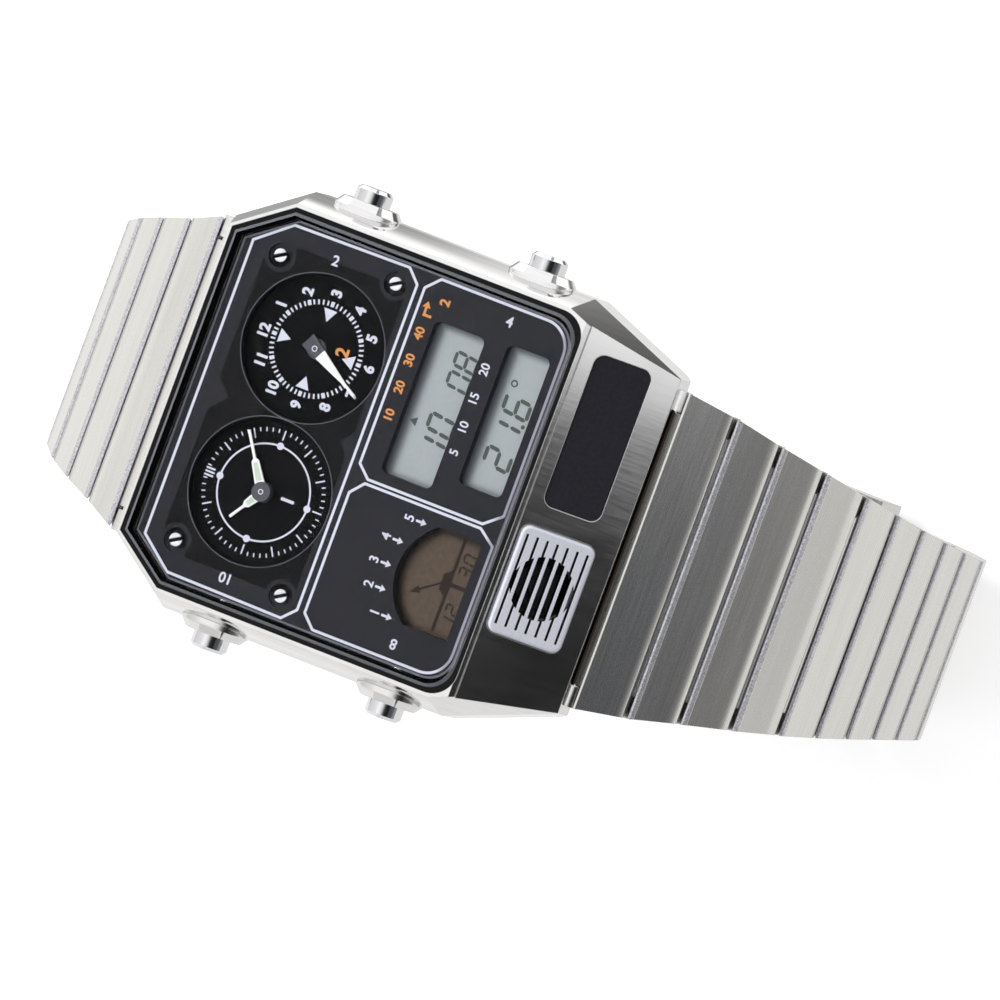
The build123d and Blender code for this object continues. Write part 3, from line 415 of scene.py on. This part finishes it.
screw_top = 7.16 * mm
screw_steel, tree = new_material("slotted_screw_steel")
place = own_place(tree)
turned = ramp(tree, noise(tree, place, 9000.0, 2.0), [(0.3, "#97979c"), (0.7, "#b0b0b6")])
# Painted shade: below the heads' tops, the slots and sides take a near-black colour.
top = maths(tree, "GREATER_THAN", axes(tree, place)["Z"], screw_top)
surface(tree, {"Metallic": 1.0, "Roughness": 0.28}, {
    "Base Color": blend(tree, top, colour("#101012"), turned), "Normal": rounded(tree, 0.12)})
finish_node("dial_screws", screw_steel)

# The sensor's grille: a bead-blasted and silver-plated cover over the sensor's pocket. Inside
# its slotted field painted shade darkens the slots' walls from their foot up.
slotted_half_width, slotted_half_length = 3.5 * mm, 2.65 * mm
wall_foot, wall_top = 0.1 * mm, 0.36 * mm
grain_height = 4e-6
grille_silver, tree = new_material("silver_plated_grille")
place = own_place(tree)
away = axes(tree, on_slope(tree, place))
# Painted shade darkens the slotted field's walls below their top.
shade = maths(tree, "MULTIPLY",
              maths(tree, "LESS_THAN", maths(tree, "ABSOLUTE", away["X"]), slotted_half_width),
              maths(tree, "LESS_THAN", maths(tree, "ABSOLUTE", away["Y"]), slotted_half_length),
              spread(tree, away["Z"], wall_foot, wall_top, 1.0, 0.0))
grains = noise(tree, place, 7000.0, 3.0)
silver = ramp(tree, grains, [(0.3, "#e0e2ec"), (0.7, "#ebedf7")])
surface(tree, {"Roughness": 0.44}, {
    "Base Color": blend(tree, shade, silver, colour("#0b0b0d")),
    "Metallic": spread(tree, shade, 0.0, 1.0, 0.35, 1.0),
    "Normal": embossed(tree, maths(tree, "MULTIPLY", grains, grain_height), rounded(tree, 0.05))})
finish_node("sensor_grille", grille_silver)

# The crystal: a slab of mineral glass with an anti-glare coat and a ground chamfer, in a black
# gasket. Light passes it unbent on its way to and from the dial.
chamfer_low, chamfer_high, frost_share = 0.3, 0.95, 0.3
glass, tree = new_material("coated_mineral_glass")
ray = node(tree, "ShaderNodeLightPath").outputs
passing = maths(tree, "MAXIMUM", ray["Is Shadow Ray"], ray["Is Diffuse Ray"])
slab = node(tree, "ShaderNodeBsdfPrincipled",
            {"Base Color": colour("#fdfefe"), "Roughness": 0.0, "IOR": 1.07, "Transmission Weight": 1.0})
clear = node(tree, "ShaderNodeBsdfTransparent")
rise = face_normal(tree)["Z"]
ground = maths(tree, "MULTIPLY", maths(tree, "LESS_THAN", rise, chamfer_high),
               maths(tree, "GREATER_THAN", rise, chamfer_low), frost_share)
frost = node(tree, "ShaderNodeBsdfDiffuse", {"Color": colour("#c8c9d2")})
rimmed = node(tree, "ShaderNodeMixShader", links={0: ground, 1: slab.outputs[0], 2: frost.outputs[0]})
mixed = node(tree, "ShaderNodeMixShader", links={0: passing, 1: rimmed.outputs[0], 2: clear.outputs[0]})
node(tree, "ShaderNodeOutputMaterial", links={0: mixed.outputs[0]})
finish_node("crystal", glass)


def coated(name, tone, roughness, grain_mm, depth_mm, second_tone=None, sheen=0.5):
    """A moulded, lacquered or printed surface with a fine grain of the given size"""
    material, tree = new_material(name)
    grain = noise(tree, own_place(tree), 1000 / grain_mm, 4.0)
    surface(tree, {"Roughness": roughness, "Specular IOR Level": sheen}, {
        "Base Color": ramp(tree, grain, [(0.35, second_tone or tone), (0.65, tone)]),
        "Normal": node(tree, "ShaderNodeBump", {"Distance": depth_mm * mm}, {"Height": grain}).outputs[0]})
    return material


gasket_rubber = coated("nitrile_rubber", "#0d0d0e", 0.5, 0.2, 0.004, "#080809", 0.15)
for name in ("crystal_gasket", "back_gasket", "lcd_connectors"):
    finish_node(name, gasket_rubber)

# The dial plate: pressed brass under charcoal lacquer. A grained black field with cut upper
# corners lies round the two dials, with charcoal lands at the screws and frames in silver ink.
field_half_width, field_foot, field_top = 12.0 * mm, 2.7 * mm, 13.9 * mm
corner_fall, corner_cut = 0.667, 19.67 * mm
plain_height, field_height = 1e-6, 1.4e-5
dial_lacquer, tree = new_material("charcoal_lacquer")
place = own_place(tree)
away = axes(tree, place)
across = maths(tree, "ABSOLUTE", away["X"])
cut = maths(tree, "ADD", across, maths(tree, "MULTIPLY", away["Y"], corner_fall))
field = maths(tree, "MULTIPLY", maths(tree, "LESS_THAN", across, field_half_width),
              maths(tree, "LESS_THAN", away["Y"], field_top),
              maths(tree, "GREATER_THAN", away["Y"], field_foot),
              maths(tree, "LESS_THAN", cut, corner_cut))
grain = noise(tree, place, 5200.0, 3.0)
fine = noise(tree, place, 9000.0, 2.0)
depth = node(tree, "ShaderNodeMix",
             {"data_type": "FLOAT", 2: plain_height, 3: field_height}, {0: field}).outputs[0]
tone = blend(tree, field, ramp(tree, fine, [(0.35, "#242428"), (0.65, "#2b2b30")]),
             ramp(tree, grain, [(0.4, "#060607"), (0.7, "#131315")]))
surface(tree, {"Roughness": 0.42, "Specular IOR Level": 0.06}, {
    "Base Color": tone, "Normal": embossed(tree, maths(tree, "MULTIPLY", grain, depth))})
finish_node("dial_plate", dial_lacquer)

plate_top = 7.2
dial_top = 6.35
ink_lift = 0.012
time_x, second_x, dials_y = -5.56, 5.56, 7.95
well_radius = 5.535


def ink(name, outlines, height, material, body="case"):
    """Flat shapes, printed ones and painted highlights, given as outlines in mm, at a height on one body"""
    corners, faces = [], []
    for outline in outlines:
        area = sum(a[0] * b[1] - b[0] * a[1] for a, b in zip(outline, outline[1:] + outline[:1]))
        ordered = outline if area > 0 else outline[::-1]
        faces.append(tuple(range(len(corners), len(corners) + len(ordered))))
        corners += [(x * mm, y * mm, height * mm) for x, y in ordered]
    mesh = bpy.data.meshes.new(name)
    mesh.from_pydata(corners, [], faces)
    mesh.materials.append(material)
    piece = bpy.data.objects.new(name, mesh)
    bpy.context.scene.collection.objects.link(piece)
    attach(piece, body)
    return piece


def line(points, width, closed=False):
    """The outlines of a printed line with mitred corners"""
    count = len(points)
    left, right = [], []
    for i, (x, y) in enumerate(points):
        before = points[i - 1] if i or closed else points[0]
        after = points[(i + 1) % count] if i + 1 < count or closed else points[-1]
        first = Vector((x - before[0], y - before[1]))
        second = Vector((after[0] - x, after[1] - y))
        first = first.normalized() if first.length else second.normalized()
        second = second.normalized() if second.length else first
        across = Vector((-first.y - second.y, first.x + second.x)).normalized()
        reach = width / 2 / max(across.dot(Vector((-first.y, first.x))), 0.3)
        left.append((x + across.x * reach, y + across.y * reach))
        right.append((x - across.x * reach, y - across.y * reach))
    last = count if closed else count - 1
    return [[left[i], right[i], right[(i + 1) % count], left[(i + 1) % count]] for i in range(last)]


def bend(x, y, radius, start, end, count=10):
    """Points on an arc between two angles in degrees"""
    turns = [math.radians(start + (end - start) * i / count) for i in range(count + 1)]
    return [(x + radius * math.cos(t), y + radius * math.sin(t)) for t in turns]


def hoop(x, y, radius, width, count=64):
    """The outlines of a printed circle"""
    return line(bend(x, y, radius, 0, 360 - 360 / count, count - 1), width, True)


def lettering(name, labels, height, material, body="case", weight=0.03):
    """Printed numbers, each with its text, size, place and turn, as one flat mesh"""
    gathered = bmesh.new()
    for text, size, x, y, turn in labels:
        curve = bpy.data.curves.new("number", "FONT")
        curve.body = text
        curve.offset = weight
        curve.resolution_u = 5
        draft = bpy.data.objects.new("number", curve)
        bpy.context.scene.collection.objects.link(draft)
        shaped = bpy.data.meshes.new_from_object(draft.evaluated_get(bpy.context.evaluated_depsgraph_get()))
        bpy.data.objects.remove(draft)
        low = Vector([min(v.co[i] for v in shaped.vertices) for i in range(3)])
        high = Vector([max(v.co[i] for v in shaped.vertices) for i in range(3)])
        scale = size * mm / (high.y - low.y)
        shaped.transform(Matrix.Translation((x * mm, y * mm, height * mm))
                         @ Matrix.Rotation(math.radians(turn), 4, "Z")
                         @ Matrix.Diagonal((scale, scale, 0, 1)) @ Matrix.Translation(-(low + high) / 2))
        gathered.from_mesh(shaped)
        bpy.data.meshes.remove(shaped)
    mesh = bpy.data.meshes.new(name)
    gathered.to_mesh(mesh)
    gathered.free()
    mesh.materials.clear()
    mesh.materials.append(material)
    piece = bpy.data.objects.new(name, mesh)
    bpy.context.scene.collection.objects.link(piece)
    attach(piece, body)
    return piece


pale_ink = coated("pale_grey_ink", "#dcdeec", 0.5, 0.1, 0.001, "#cfd1df", 0.2)
orange_ink = coated("orange_ink", "#e09a58", 0.5, 0.1, 0.001, "#d38d4c", 0.2)
# The plate's pressed edge and the wells' rims: a flat grey that is a painted highlight.
edge_highlight_ink = coated("pressed_edge_painted_highlight", "#64646f", 0.4, 0.1, 0.001, "#52525b", 0.3)
charcoal_ink = coated("charcoal_land", "#2a2a2e", 0.42, 0.11, 0.001, "#252529", 0.06)

# Painted shade dims the frames' silver ink along the foot of the plate.
shaded_foot, shade_end = -10.1 * mm, -9.3 * mm
frame_ink, tree = new_material("silver_frame_ink")
place = own_place(tree)
foot = spread(tree, axes(tree, place)["Y"], shaded_foot, shade_end, 1.0, 0.0, "SMOOTHSTEP")
silver = ramp(tree, noise(tree, place, 10000.0, 4.0), [(0.35, "#cfd1df"), (0.65, "#dcdeec")])
surface(tree, {"Roughness": 0.5, "Specular IOR Level": 0.2},
        {"Base Color": blend(tree, foot, silver, colour("#9a9aa8"))})

frame_line, edge_line, rim_line = 0.2, 0.16, 0.055
corner_bend = 2.0
upper_frame = [(-11.4, 15.12), (-13.45, 12.5), (-13.58, 3.1), (-12.6, 2.12),
               (12.6, 2.12), (13.58, 3.1), (13.45, 12.5), (11.4, 15.12)]
left_frame = ([(-13.55, 0.5), (-12.6, 1.5), (-3.25, 1.5), (-2.25, 0.6), (-2.25, -8.9), (-3.2, -10.22)]
              + bend(-11.55, -8.22, corner_bend, 270, 180))
right_frame = ([(-1.9, 0.5), (-1.0, 1.5), (12.6, 1.5), (13.6, 0.5)]
               + bend(11.6, -8.22, corner_bend, 0, -90) + [(-0.85, -10.22), (-1.9, -8.9)])
frames = [shape for outline in (upper_frame, left_frame, right_frame)
          for shape in line(outline, frame_line, True)]
ink("printed_frames", frames, plate_top + ink_lift, frame_ink)
plate_edge = ([(-11.32, 15.77), (-13.82, 12.23)] + bend(-11.82, -8.47, corner_bend, 180, 270)
              + bend(11.82, -8.47, corner_bend, 270, 360) + [(13.82, 12.23), (11.32, 15.77)])
ink("plate_edge_line", line(plate_edge, edge_line, True), plate_top + ink_lift, edge_highlight_ink)
# The wells' rims: a thin painted highlight.
well_rims = [shape for x in (time_x, second_x) for shape in hoop(x, dials_y, well_radius, rim_line, 96)]
ink("well_rims", well_rims, plate_top + ink_lift / 2, edge_highlight_ink)
screws = ((-11.04, 12.75), (11.04, 12.75), (-12.1, 3.7), (12.1, 3.7))
lands = [shape for x, y in screws for shape in hoop(x, y, 1.08, 0.32, 32)]
lands += [[(-1.3, 13.95), (0.0, 12.7), (1.3, 13.95)], [(-1.0, 2.65), (1.0, 2.65), (0.0, 3.5)]]
ink("charcoal_lands", lands, plate_top + ink_lift / 3, charcoal_ink)

# Plain numbers and arrows by the pushers and round the windows, in silver and in orange.
shaft_half, head_half, head_length, arrow_length = 0.09, 0.28, 0.4, 0.85
arrows = []
for x, tip in ((-10.7, -4.9), (-8.92, -3.7), (-7.12, -3.45), (-5.25, -3.7), (-3.4, -4.9)):
    neck = tip + 0.35
    arrows += [[(x - shaft_half, neck), (x + shaft_half, neck),
                (x + shaft_half, tip + arrow_length), (x - shaft_half, tip + arrow_length)],
               [(x, tip), (x + head_half, tip + head_length), (x - head_half, tip + head_length)]]
ink("mode_arrows", arrows, plate_top + ink_lift, pale_ink)
bent_arrow = line([(10.75, 0.25), (10.75, 0.85), (11.35, 0.85)], frame_line)
bent_arrow.append([(11.3, 0.52), (11.78, 0.85), (11.3, 1.18)])
ink("orange_arrow", bent_arrow, plate_top + ink_lift, orange_ink)
lettering("mode_numbers", [
    ("1", 0.75, -10.7, -3.5, 0), ("2", 0.75, -8.92, -2.3, 0), ("3", 0.75, -7.12, -2.05, 0),
    ("4", 0.75, -5.25, -2.3, 0), ("5", 0.75, -3.4, -3.5, 0),
    ("5", 0.7, 2.2, -4.95, 0), ("10", 0.7, 4.2, -4.95, 0),
    ("15", 0.7, 6.4, -4.95, 0), ("20", 0.7, 8.6, -4.95, 0),
    ("10", 0.8, -12.35, 8.2, 90), ("8", 0.8, -12.4, -5.7, 90),
    ("2", 0.8, 12.1, 8.6, -90), ("4", 0.8, 12.5, -5.5, -90),
], plate_top + ink_lift, pale_ink, weight=0.02)
lettering("orange_numbers", [
    ("10", 0.72, 3.1, 0.7, 0), ("20", 0.72, 5.2, 0.7, 0), ("30", 0.72, 7.3, 0.7, 0),
    ("40", 0.72, 9.35, 0.7, 0), ("2", 0.8, 12.1, -0.35, 0),
], plate_top + ink_lift, orange_ink)

# The two dials: discs of matt black lacquer with printed scales. The left one tells the time, the
# right one a second zone with numerals. Their marks repeat round a ring, and prints that cross
# lie in layers.
dial_black = coated("matt_black_dial", "#08080a", 0.55, 0.12, 0.001, "#060607", 0.04)
for name in ("time_dial", "second_dial"):
    finish_node(name, dial_black)

ring_tree = bpy.data.node_groups.new("ring_of_marks", "GeometryNodeTree")
sockets = {}
for label, kind in (("Count", "Int"), ("Radius", "Float"), ("Length", "Float"), ("Width", "Float"),
                    ("Centre", "Vector"), ("Ink", "Material")):
    socket = ring_tree.interface.new_socket(label, in_out="INPUT", socket_type="NodeSocket" + kind)
    sockets[label] = socket.identifier
ring_tree.interface.new_socket("Geometry", in_out="OUTPUT", socket_type="NodeSocketGeometry")
given = node(ring_tree, "NodeGroupInput").outputs
circle = node(ring_tree, "GeometryNodeMeshCircle",
              links={"Vertices": given["Count"], "Radius": given["Radius"]})
mark = node(ring_tree, "GeometryNodeMeshGrid", {"Vertices X": 2, "Vertices Y": 2},
            {"Size X": given["Length"], "Size Y": given["Width"]})
step = maths(ring_tree, "DIVIDE", 2 * math.pi, given["Count"])
turn = maths(ring_tree, "MULTIPLY", node(ring_tree, "GeometryNodeInputIndex").outputs[0], step)
turned = node(ring_tree, "FunctionNodeEulerToRotation", links={
    0: node(ring_tree, "ShaderNodeCombineXYZ", links={"Z": turn}).outputs[0]})
placed = node(ring_tree, "GeometryNodeInstanceOnPoints", links={
    "Points": circle.outputs[0], "Instance": mark.outputs[0], "Rotation": turned.outputs[0]})
real = node(ring_tree, "GeometryNodeRealizeInstances", links={0: placed.outputs[0]})
moved = node(ring_tree, "GeometryNodeTransform",
             links={"Geometry": real.outputs[0], "Translation": given["Centre"]})
inked = node(ring_tree, "GeometryNodeSetMaterial",
             links={"Geometry": moved.outputs[0], "Material": given["Ink"]})
node(ring_tree, "NodeGroupOutput", links={0: inked.outputs[0]})


def ring_of_marks(name, centre_x, count, radius, length, width, layer):
    """Printed marks round a dial's centre, made by the node tree and kept as a plain mesh"""
    piece = bpy.data.objects.new(name, bpy.data.meshes.new(name + "_draft"))
    bpy.context.scene.collection.objects.link(piece)
    maker = piece.modifiers.new("marks", "NODES")
    maker.node_group = ring_tree
    centre = (centre_x * mm, dials_y * mm, (dial_top + ink_lift * layer) * mm)
    for label, value in (("Count", count), ("Radius", radius * mm), ("Length", length * mm),
                         ("Width", width * mm), ("Centre", centre), ("Ink", pale_ink)):
        maker[sockets[label]] = value
    piece.update_tag()
    made = bpy.data.meshes.new_from_object(piece.evaluated_get(bpy.context.evaluated_depsgraph_get()))
    piece.modifiers.clear()
    piece.data = made
    made.name = name
    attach(piece, "case")
    return piece


def on_ring(centre_x, radius, degrees):
    """A place on a ring round a dial's centre"""
    turn = math.radians(degrees)
    return centre_x + radius * math.cos(turn), dials_y + radius * math.sin(turn)


time_ring, dot_radius = 3.58, 0.27
bar_half, bar_foot, bar_top = 0.07, 12.0, 12.72
pointer_tip, pointer_foot, pointer_half = 2.1, 3.05, 0.53
numeral_ring = 4.3
ring_of_marks("time_minute_marks", time_x, 60, 4.62, 0.3, 0.09, 1)
ring_of_marks("time_hour_marks", time_x, 12, 4.4, 0.74, 0.11, 1.4)
ring_of_marks("second_minute_marks", second_x, 60, 3.45, 0.36, 0.13, 1)
ring_of_marks("second_hour_marks", second_x, 12, 3.45, 0.38, 0.27, 1.4)
ink("time_ring", hoop(time_x, dials_y, time_ring, 0.13), dial_top + ink_lift, pale_ink)
time_print = [bend(*on_ring(time_x, time_ring, turn), dot_radius, 0, 350, 24) for turn in (0, 90, 180, 270)]
for x in (time_x - 0.26, time_x, time_x + 0.26):
    time_print.append([(x - bar_half, bar_foot), (x + bar_half, bar_foot),
                       (x + bar_half, bar_top), (x - bar_half, bar_top)])
ink("time_dots_and_bars", time_print, dial_top + ink_lift * 1.8, pale_ink)
pointers = []
for turn in (0, 90, 180, 270):
    out = Vector((math.cos(math.radians(turn)), math.sin(math.radians(turn))))
    over = Vector((-out.y, out.x)) * pointer_half
    middle = Vector((second_x, dials_y))
    foot = middle + out * pointer_foot
    pointers.append([tuple(middle + out * pointer_tip), tuple(foot + over), tuple(foot - over)])
ink("second_pointers", pointers, dial_top + ink_lift, pale_ink)
numerals = [(str(hour), 0.88, *on_ring(second_x, numeral_ring, 90 - 30 * hour), 0) for hour in range(1, 13)]
lettering("second_numerals", numerals, dial_top + ink_lift, pale_ink, weight=0.045)
lettering("time_dial_number", [("1", 1.05, -5.5, 6.0, 0)], dial_top + ink_lift, pale_ink)
lettering("second_dial_number", [("2", 1.05, 6.0, 6.0, 0)], dial_top + ink_lift, orange_ink)

# The hands: stamped brass under white lacquer, with dark grey hubs. The time hands carry a pale
# green filling that glows in the dark.
minute_angle, hour_angle, second_angle = 57, 304.75, 208.7
minute_top, hour_top, minute_hub_top, second_hub_top = 6.886, 6.626, 7.026, 6.766


def hand_paint(name, centre_x, turn, reach, along_hand):
    """White lacquer with a dark part at the hub: a disc, or all that lies behind the reach"""
    material, tree = new_material(name)
    place = own_place(tree)
    moved = away_from(tree, place, (centre_x * mm, dials_y * mm, 0))
    if along_hand:
        point = (math.sin(math.radians(turn)), math.cos(math.radians(turn)), 0)
        ahead = node(tree, "ShaderNodeVectorMath", {"operation": "DOT_PRODUCT", 1: point}, {0: moved})
        far = ahead.outputs["Value"]
    else:
        far = flat_length(tree, moved)
    hub = maths(tree, "LESS_THAN", far, reach * mm)
    speck = noise(tree, place, 6000.0, 2.0)
    white = ramp(tree, speck, [(0.4, "#eceeee"), (0.7, "#fbfbfb")])
    dark = ramp(tree, speck, [(0.4, "#3c3c44"), (0.7, "#4a4a52")])
    surface(tree, {"Roughness": 0.35, "Specular IOR Level": 0.3},
            {"Base Color": blend(tree, hub, white, dark)})
    return material


def hand_shape(centre_x, turn, points):
    """Points of a shape on a hand, given across and along it, as places on the dial"""
    sine, cosine = math.sin(math.radians(turn)), math.cos(math.radians(turn))
    return [(centre_x + x * cosine + y * sine, dials_y - x * sine + y * cosine) for x, y in points]


time_hub, second_hub = 0.73, 0.55
time_hand_paint = hand_paint("white_lacquer_time_hands", time_x, minute_angle, time_hub, False)
finish_node("minute_hand", time_hand_paint)
finish_node("hour_hand", time_hand_paint)
second_hand_paint = hand_paint("white_lacquer_second_hand", second_x, second_angle, second_hub, True)
finish_node("second_zone_hand", second_hand_paint)
lume = coated("pale_green_lume", "#cfdccb", 0.7, 0.12, 0.003, "#c2d1bd", 0.1)
hub_ring = coated("hub_ring_silver", "#d5d6dc", 0.3, 0.1, 0.001)
minute_lume = hand_shape(time_x, minute_angle, [(-0.23, 0.85), (0.23, 0.85), (0.17, 2.2), (-0.17, 2.2)])
hour_lume = hand_shape(time_x, hour_angle, [(-0.22, 0.85), (0.22, 0.85), (0.17, 1.45), (-0.17, 1.45)])
ink("minute_lume", [minute_lume], minute_top, lume, "minute")
ink("hour_lume", [hour_lume], hour_top, lume, "hour")
ink("minute_hub_ring", hoop(time_x, dials_y, 0.17, 0.07, 24), minute_hub_top, hub_ring, "minute")
ink("second_hub_ring", hoop(second_x, dials_y, 0.19, 0.07, 24), second_hub_top, hub_ring, "second_zone")

# The displays: liquid crystal cells behind the windows, grey-green for the numbers and amber for
# the function hand. The windows' walls shade them, and their segments are drawn a little above.
# Each window has its left, right and upper wall. Each wall has its shade's reach and depth.
main_window, lower_window, function_window = (-1.0, 10.7, -0.15), (0.23, 10.98, -6.0), (-10.8, -3.3, 0.0)
left_reach, left_depth = 0.55, 0.55
right_reach, right_depth = 0.7, 0.75
upper_reach, upper_depth = 1.0, 1.0
between_windows = -5.1
arch_x, arch_y, arch_radius, arch_shaded_from = -7.05, -8.55, 4.65, 3.75


def by_walls(tree, away, left, right, top):
    """The shade under the walls of an oblong window, deepest on its 12 o'clock side"""
    low_x = spread(tree, away["X"], left * mm, (left + left_reach) * mm, left_depth, 0.0, "SMOOTHSTEP")
    high_x = spread(tree, away["X"], (right - right_reach) * mm, right * mm, 0.0, right_depth, "SMOOTHSTEP")
    upper = spread(tree, away["Y"], (top - upper_reach) * mm, top * mm, 0.0, upper_depth, "SMOOTHSTEP")
    return maths(tree, "MAXIMUM", upper, maths(tree, "MAXIMUM", low_x, high_x))


def number_shade(tree, place):
    """Both oblong windows, which lie over one glass"""
    away = axes(tree, place)
    lower = maths(tree, "LESS_THAN", away["Y"], between_windows * mm)
    main_shade = maths(tree, "MULTIPLY", maths(tree, "SUBTRACT", 1.0, lower),
                       by_walls(tree, away, *main_window))
    lower_shade = maths(tree, "MULTIPLY", lower, by_walls(tree, away, *lower_window))
    return maths(tree, "ADD", main_shade, lower_shade)


def arch_shade(tree, place):
    """The arched window of the function display"""
    radius = flat_length(tree, away_from(tree, place, (arch_x * mm, arch_y * mm, 0)))
    arch = spread(tree, radius, arch_shaded_from * mm, arch_radius * mm, 0.0, 1.0, "SMOOTHSTEP")
    return maths(tree, "MAXIMUM", arch, by_walls(tree, axes(tree, place), *function_window))


def display(name, light_hex, dark_hex, shade_hex, sheen, window_shade):
    """A display's reflector, finely mottled, with its windows' shade"""
    material, tree = new_material(name)
    place = own_place(tree)
    grain = noise(tree, place, 1000 / 0.3, 4.0)
    tint = ramp(tree, grain, [(0.35, dark_hex), (0.65, light_hex)])
    surface(tree, {"Roughness": 0.4, "Specular IOR Level": sheen}, {
        "Base Color": blend(tree, window_shade(tree, place), tint, colour(shade_hex)),
        "Normal": node(tree, "ShaderNodeBump", {"Distance": 0.001 * mm}, {"Height": grain}).outputs[0]})
    return material


finish_node("lcd_panel", display("lcd_polariser", "#a9b0b2", "#a4abad", "#565b60", 0.1, number_shade))
finish_node("lcd_function", display("lcd_amber", "#5a4e45", "#51453b", "#1f1b18", 0.08, arch_shade))
segment_grey = coated("lcd_segment", "#4c5653", 0.5, 0.1, 0.001, "#525c59", 0.1)
amber_segment = coated("lcd_amber_segment", "#2a2320", 0.5, 0.1, 0.001, "#2e2724", 0.1)
segments_lit = {"0": "abcdef", "1": "bc", "2": "abged", "3": "abgcd", "6": "afgedc", "8": "abcdefg"}


def digits(text, left, foot, height, width, pitch, bar, slant=0.13):
    """The lit segments of a row of seven-segment digits, leaning to the right"""
    shapes = []
    gap = bar * 0.12
    middle = height / 2
    ends = {"a": ((0, height), (width, height)), "g": ((0, middle), (width, middle)),
            "d": ((0, 0), (width, 0)), "f": ((0, height), (0, middle)), "e": ((0, middle), (0, 0)),
            "b": ((width, height), (width, middle)), "c": ((width, middle), (width, 0))}
    for index, digit in enumerate(text):
        for letter in segments_lit[digit]:
            (x1, y1), (x2, y2) = ends[letter]
            step = Vector((x2 - x1, y2 - y1)).normalized()
            over = Vector((-step.y, step.x)) * bar / 2
            inset = step * bar / 2
            start = Vector((x1, y1)) + step * gap
            stop = Vector((x2, y2)) - step * gap
            shape = [start, start + inset + over, stop - inset + over, stop,
                     stop - inset - over, start + inset - over]
            shapes.append([(left + index * pitch + p.x + slant * p.y, foot + p.y) for p in shape])
    return shapes


main_digits = digits("10", 1.05, -4.05, 2.0, 1.15, 1.85, 0.3) + digits("08", 6.4, -4.05, 1.75, 1.0, 1.5, 0.26)
main_digits += [[(2.9, -1.2), (3.6, -1.2), (3.25, -0.65)]]
low_digits = digits("21", 2.1, -9.0, 2.0, 1.2, 1.9, 0.3) + digits("6", 6.1, -9.0, 2.0, 1.2, 1.9, 0.3)
low_digits += [bend(5.65, -8.95, 0.16, 0, 330, 11)] + hoop(8.4, -7.2, 0.22, 0.12, 20)
ink("lcd_digits", main_digits + low_digits, dial_top + ink_lift, segment_grey)
hand_line = line([(-6.9, -7.4), (-8.05, -5.75)], 0.16)
hand_head = [[(-8.45, -5.15), (-7.75, -5.65), (-8.25, -6.0)]]
function_print = [[(-10.5, -7.97), (-3.4, -7.97), (-3.4, -7.7), (-10.5, -7.7)],
                  [(-7.9, -7.75), (-5.85, -7.75), (-6.3, -7.2), (-7.45, -7.2)],
                  [(-7.06, -9.4), (-6.74, -9.4), (-6.74, -7.9), (-7.06, -7.9)]]
ink("function_hand", function_print + hand_line + hand_head, dial_top + ink_lift, amber_segment)
function_digits = digits("12", -9.95, -9.2, 0.95, 0.6, 1.0, 0.15)
function_digits += digits("30", -6.1, -9.2, 0.95, 0.6, 1.0, 0.15)
ink("function_digits", function_digits, dial_top + ink_lift, amber_segment)

# The badge: a plain aluminium plate under black enamel, in its recess on the sloping panel.
badge_black = coated("black_enamel", "#2a2a30", 0.3, 0.25, 0.001, "#25252b", 0.25)
finish_node("badge_plate", badge_black)

# The movement inside: moulded frame, two motor blocks, the sensor and the circuit board.
module_black = coated("glass_filled_nylon", "#1b1c1e", 0.5, 0.15, 0.006, "#141516")
for name in ("time_movement", "second_movement", "module_frame", "temperature_sensor"):
    finish_node(name, module_black)
board_green = coated("solder_mask", "#1d5b35", 0.35, 0.8, 0.01, "#174d2c")
finish_node("circuit_board", board_green)
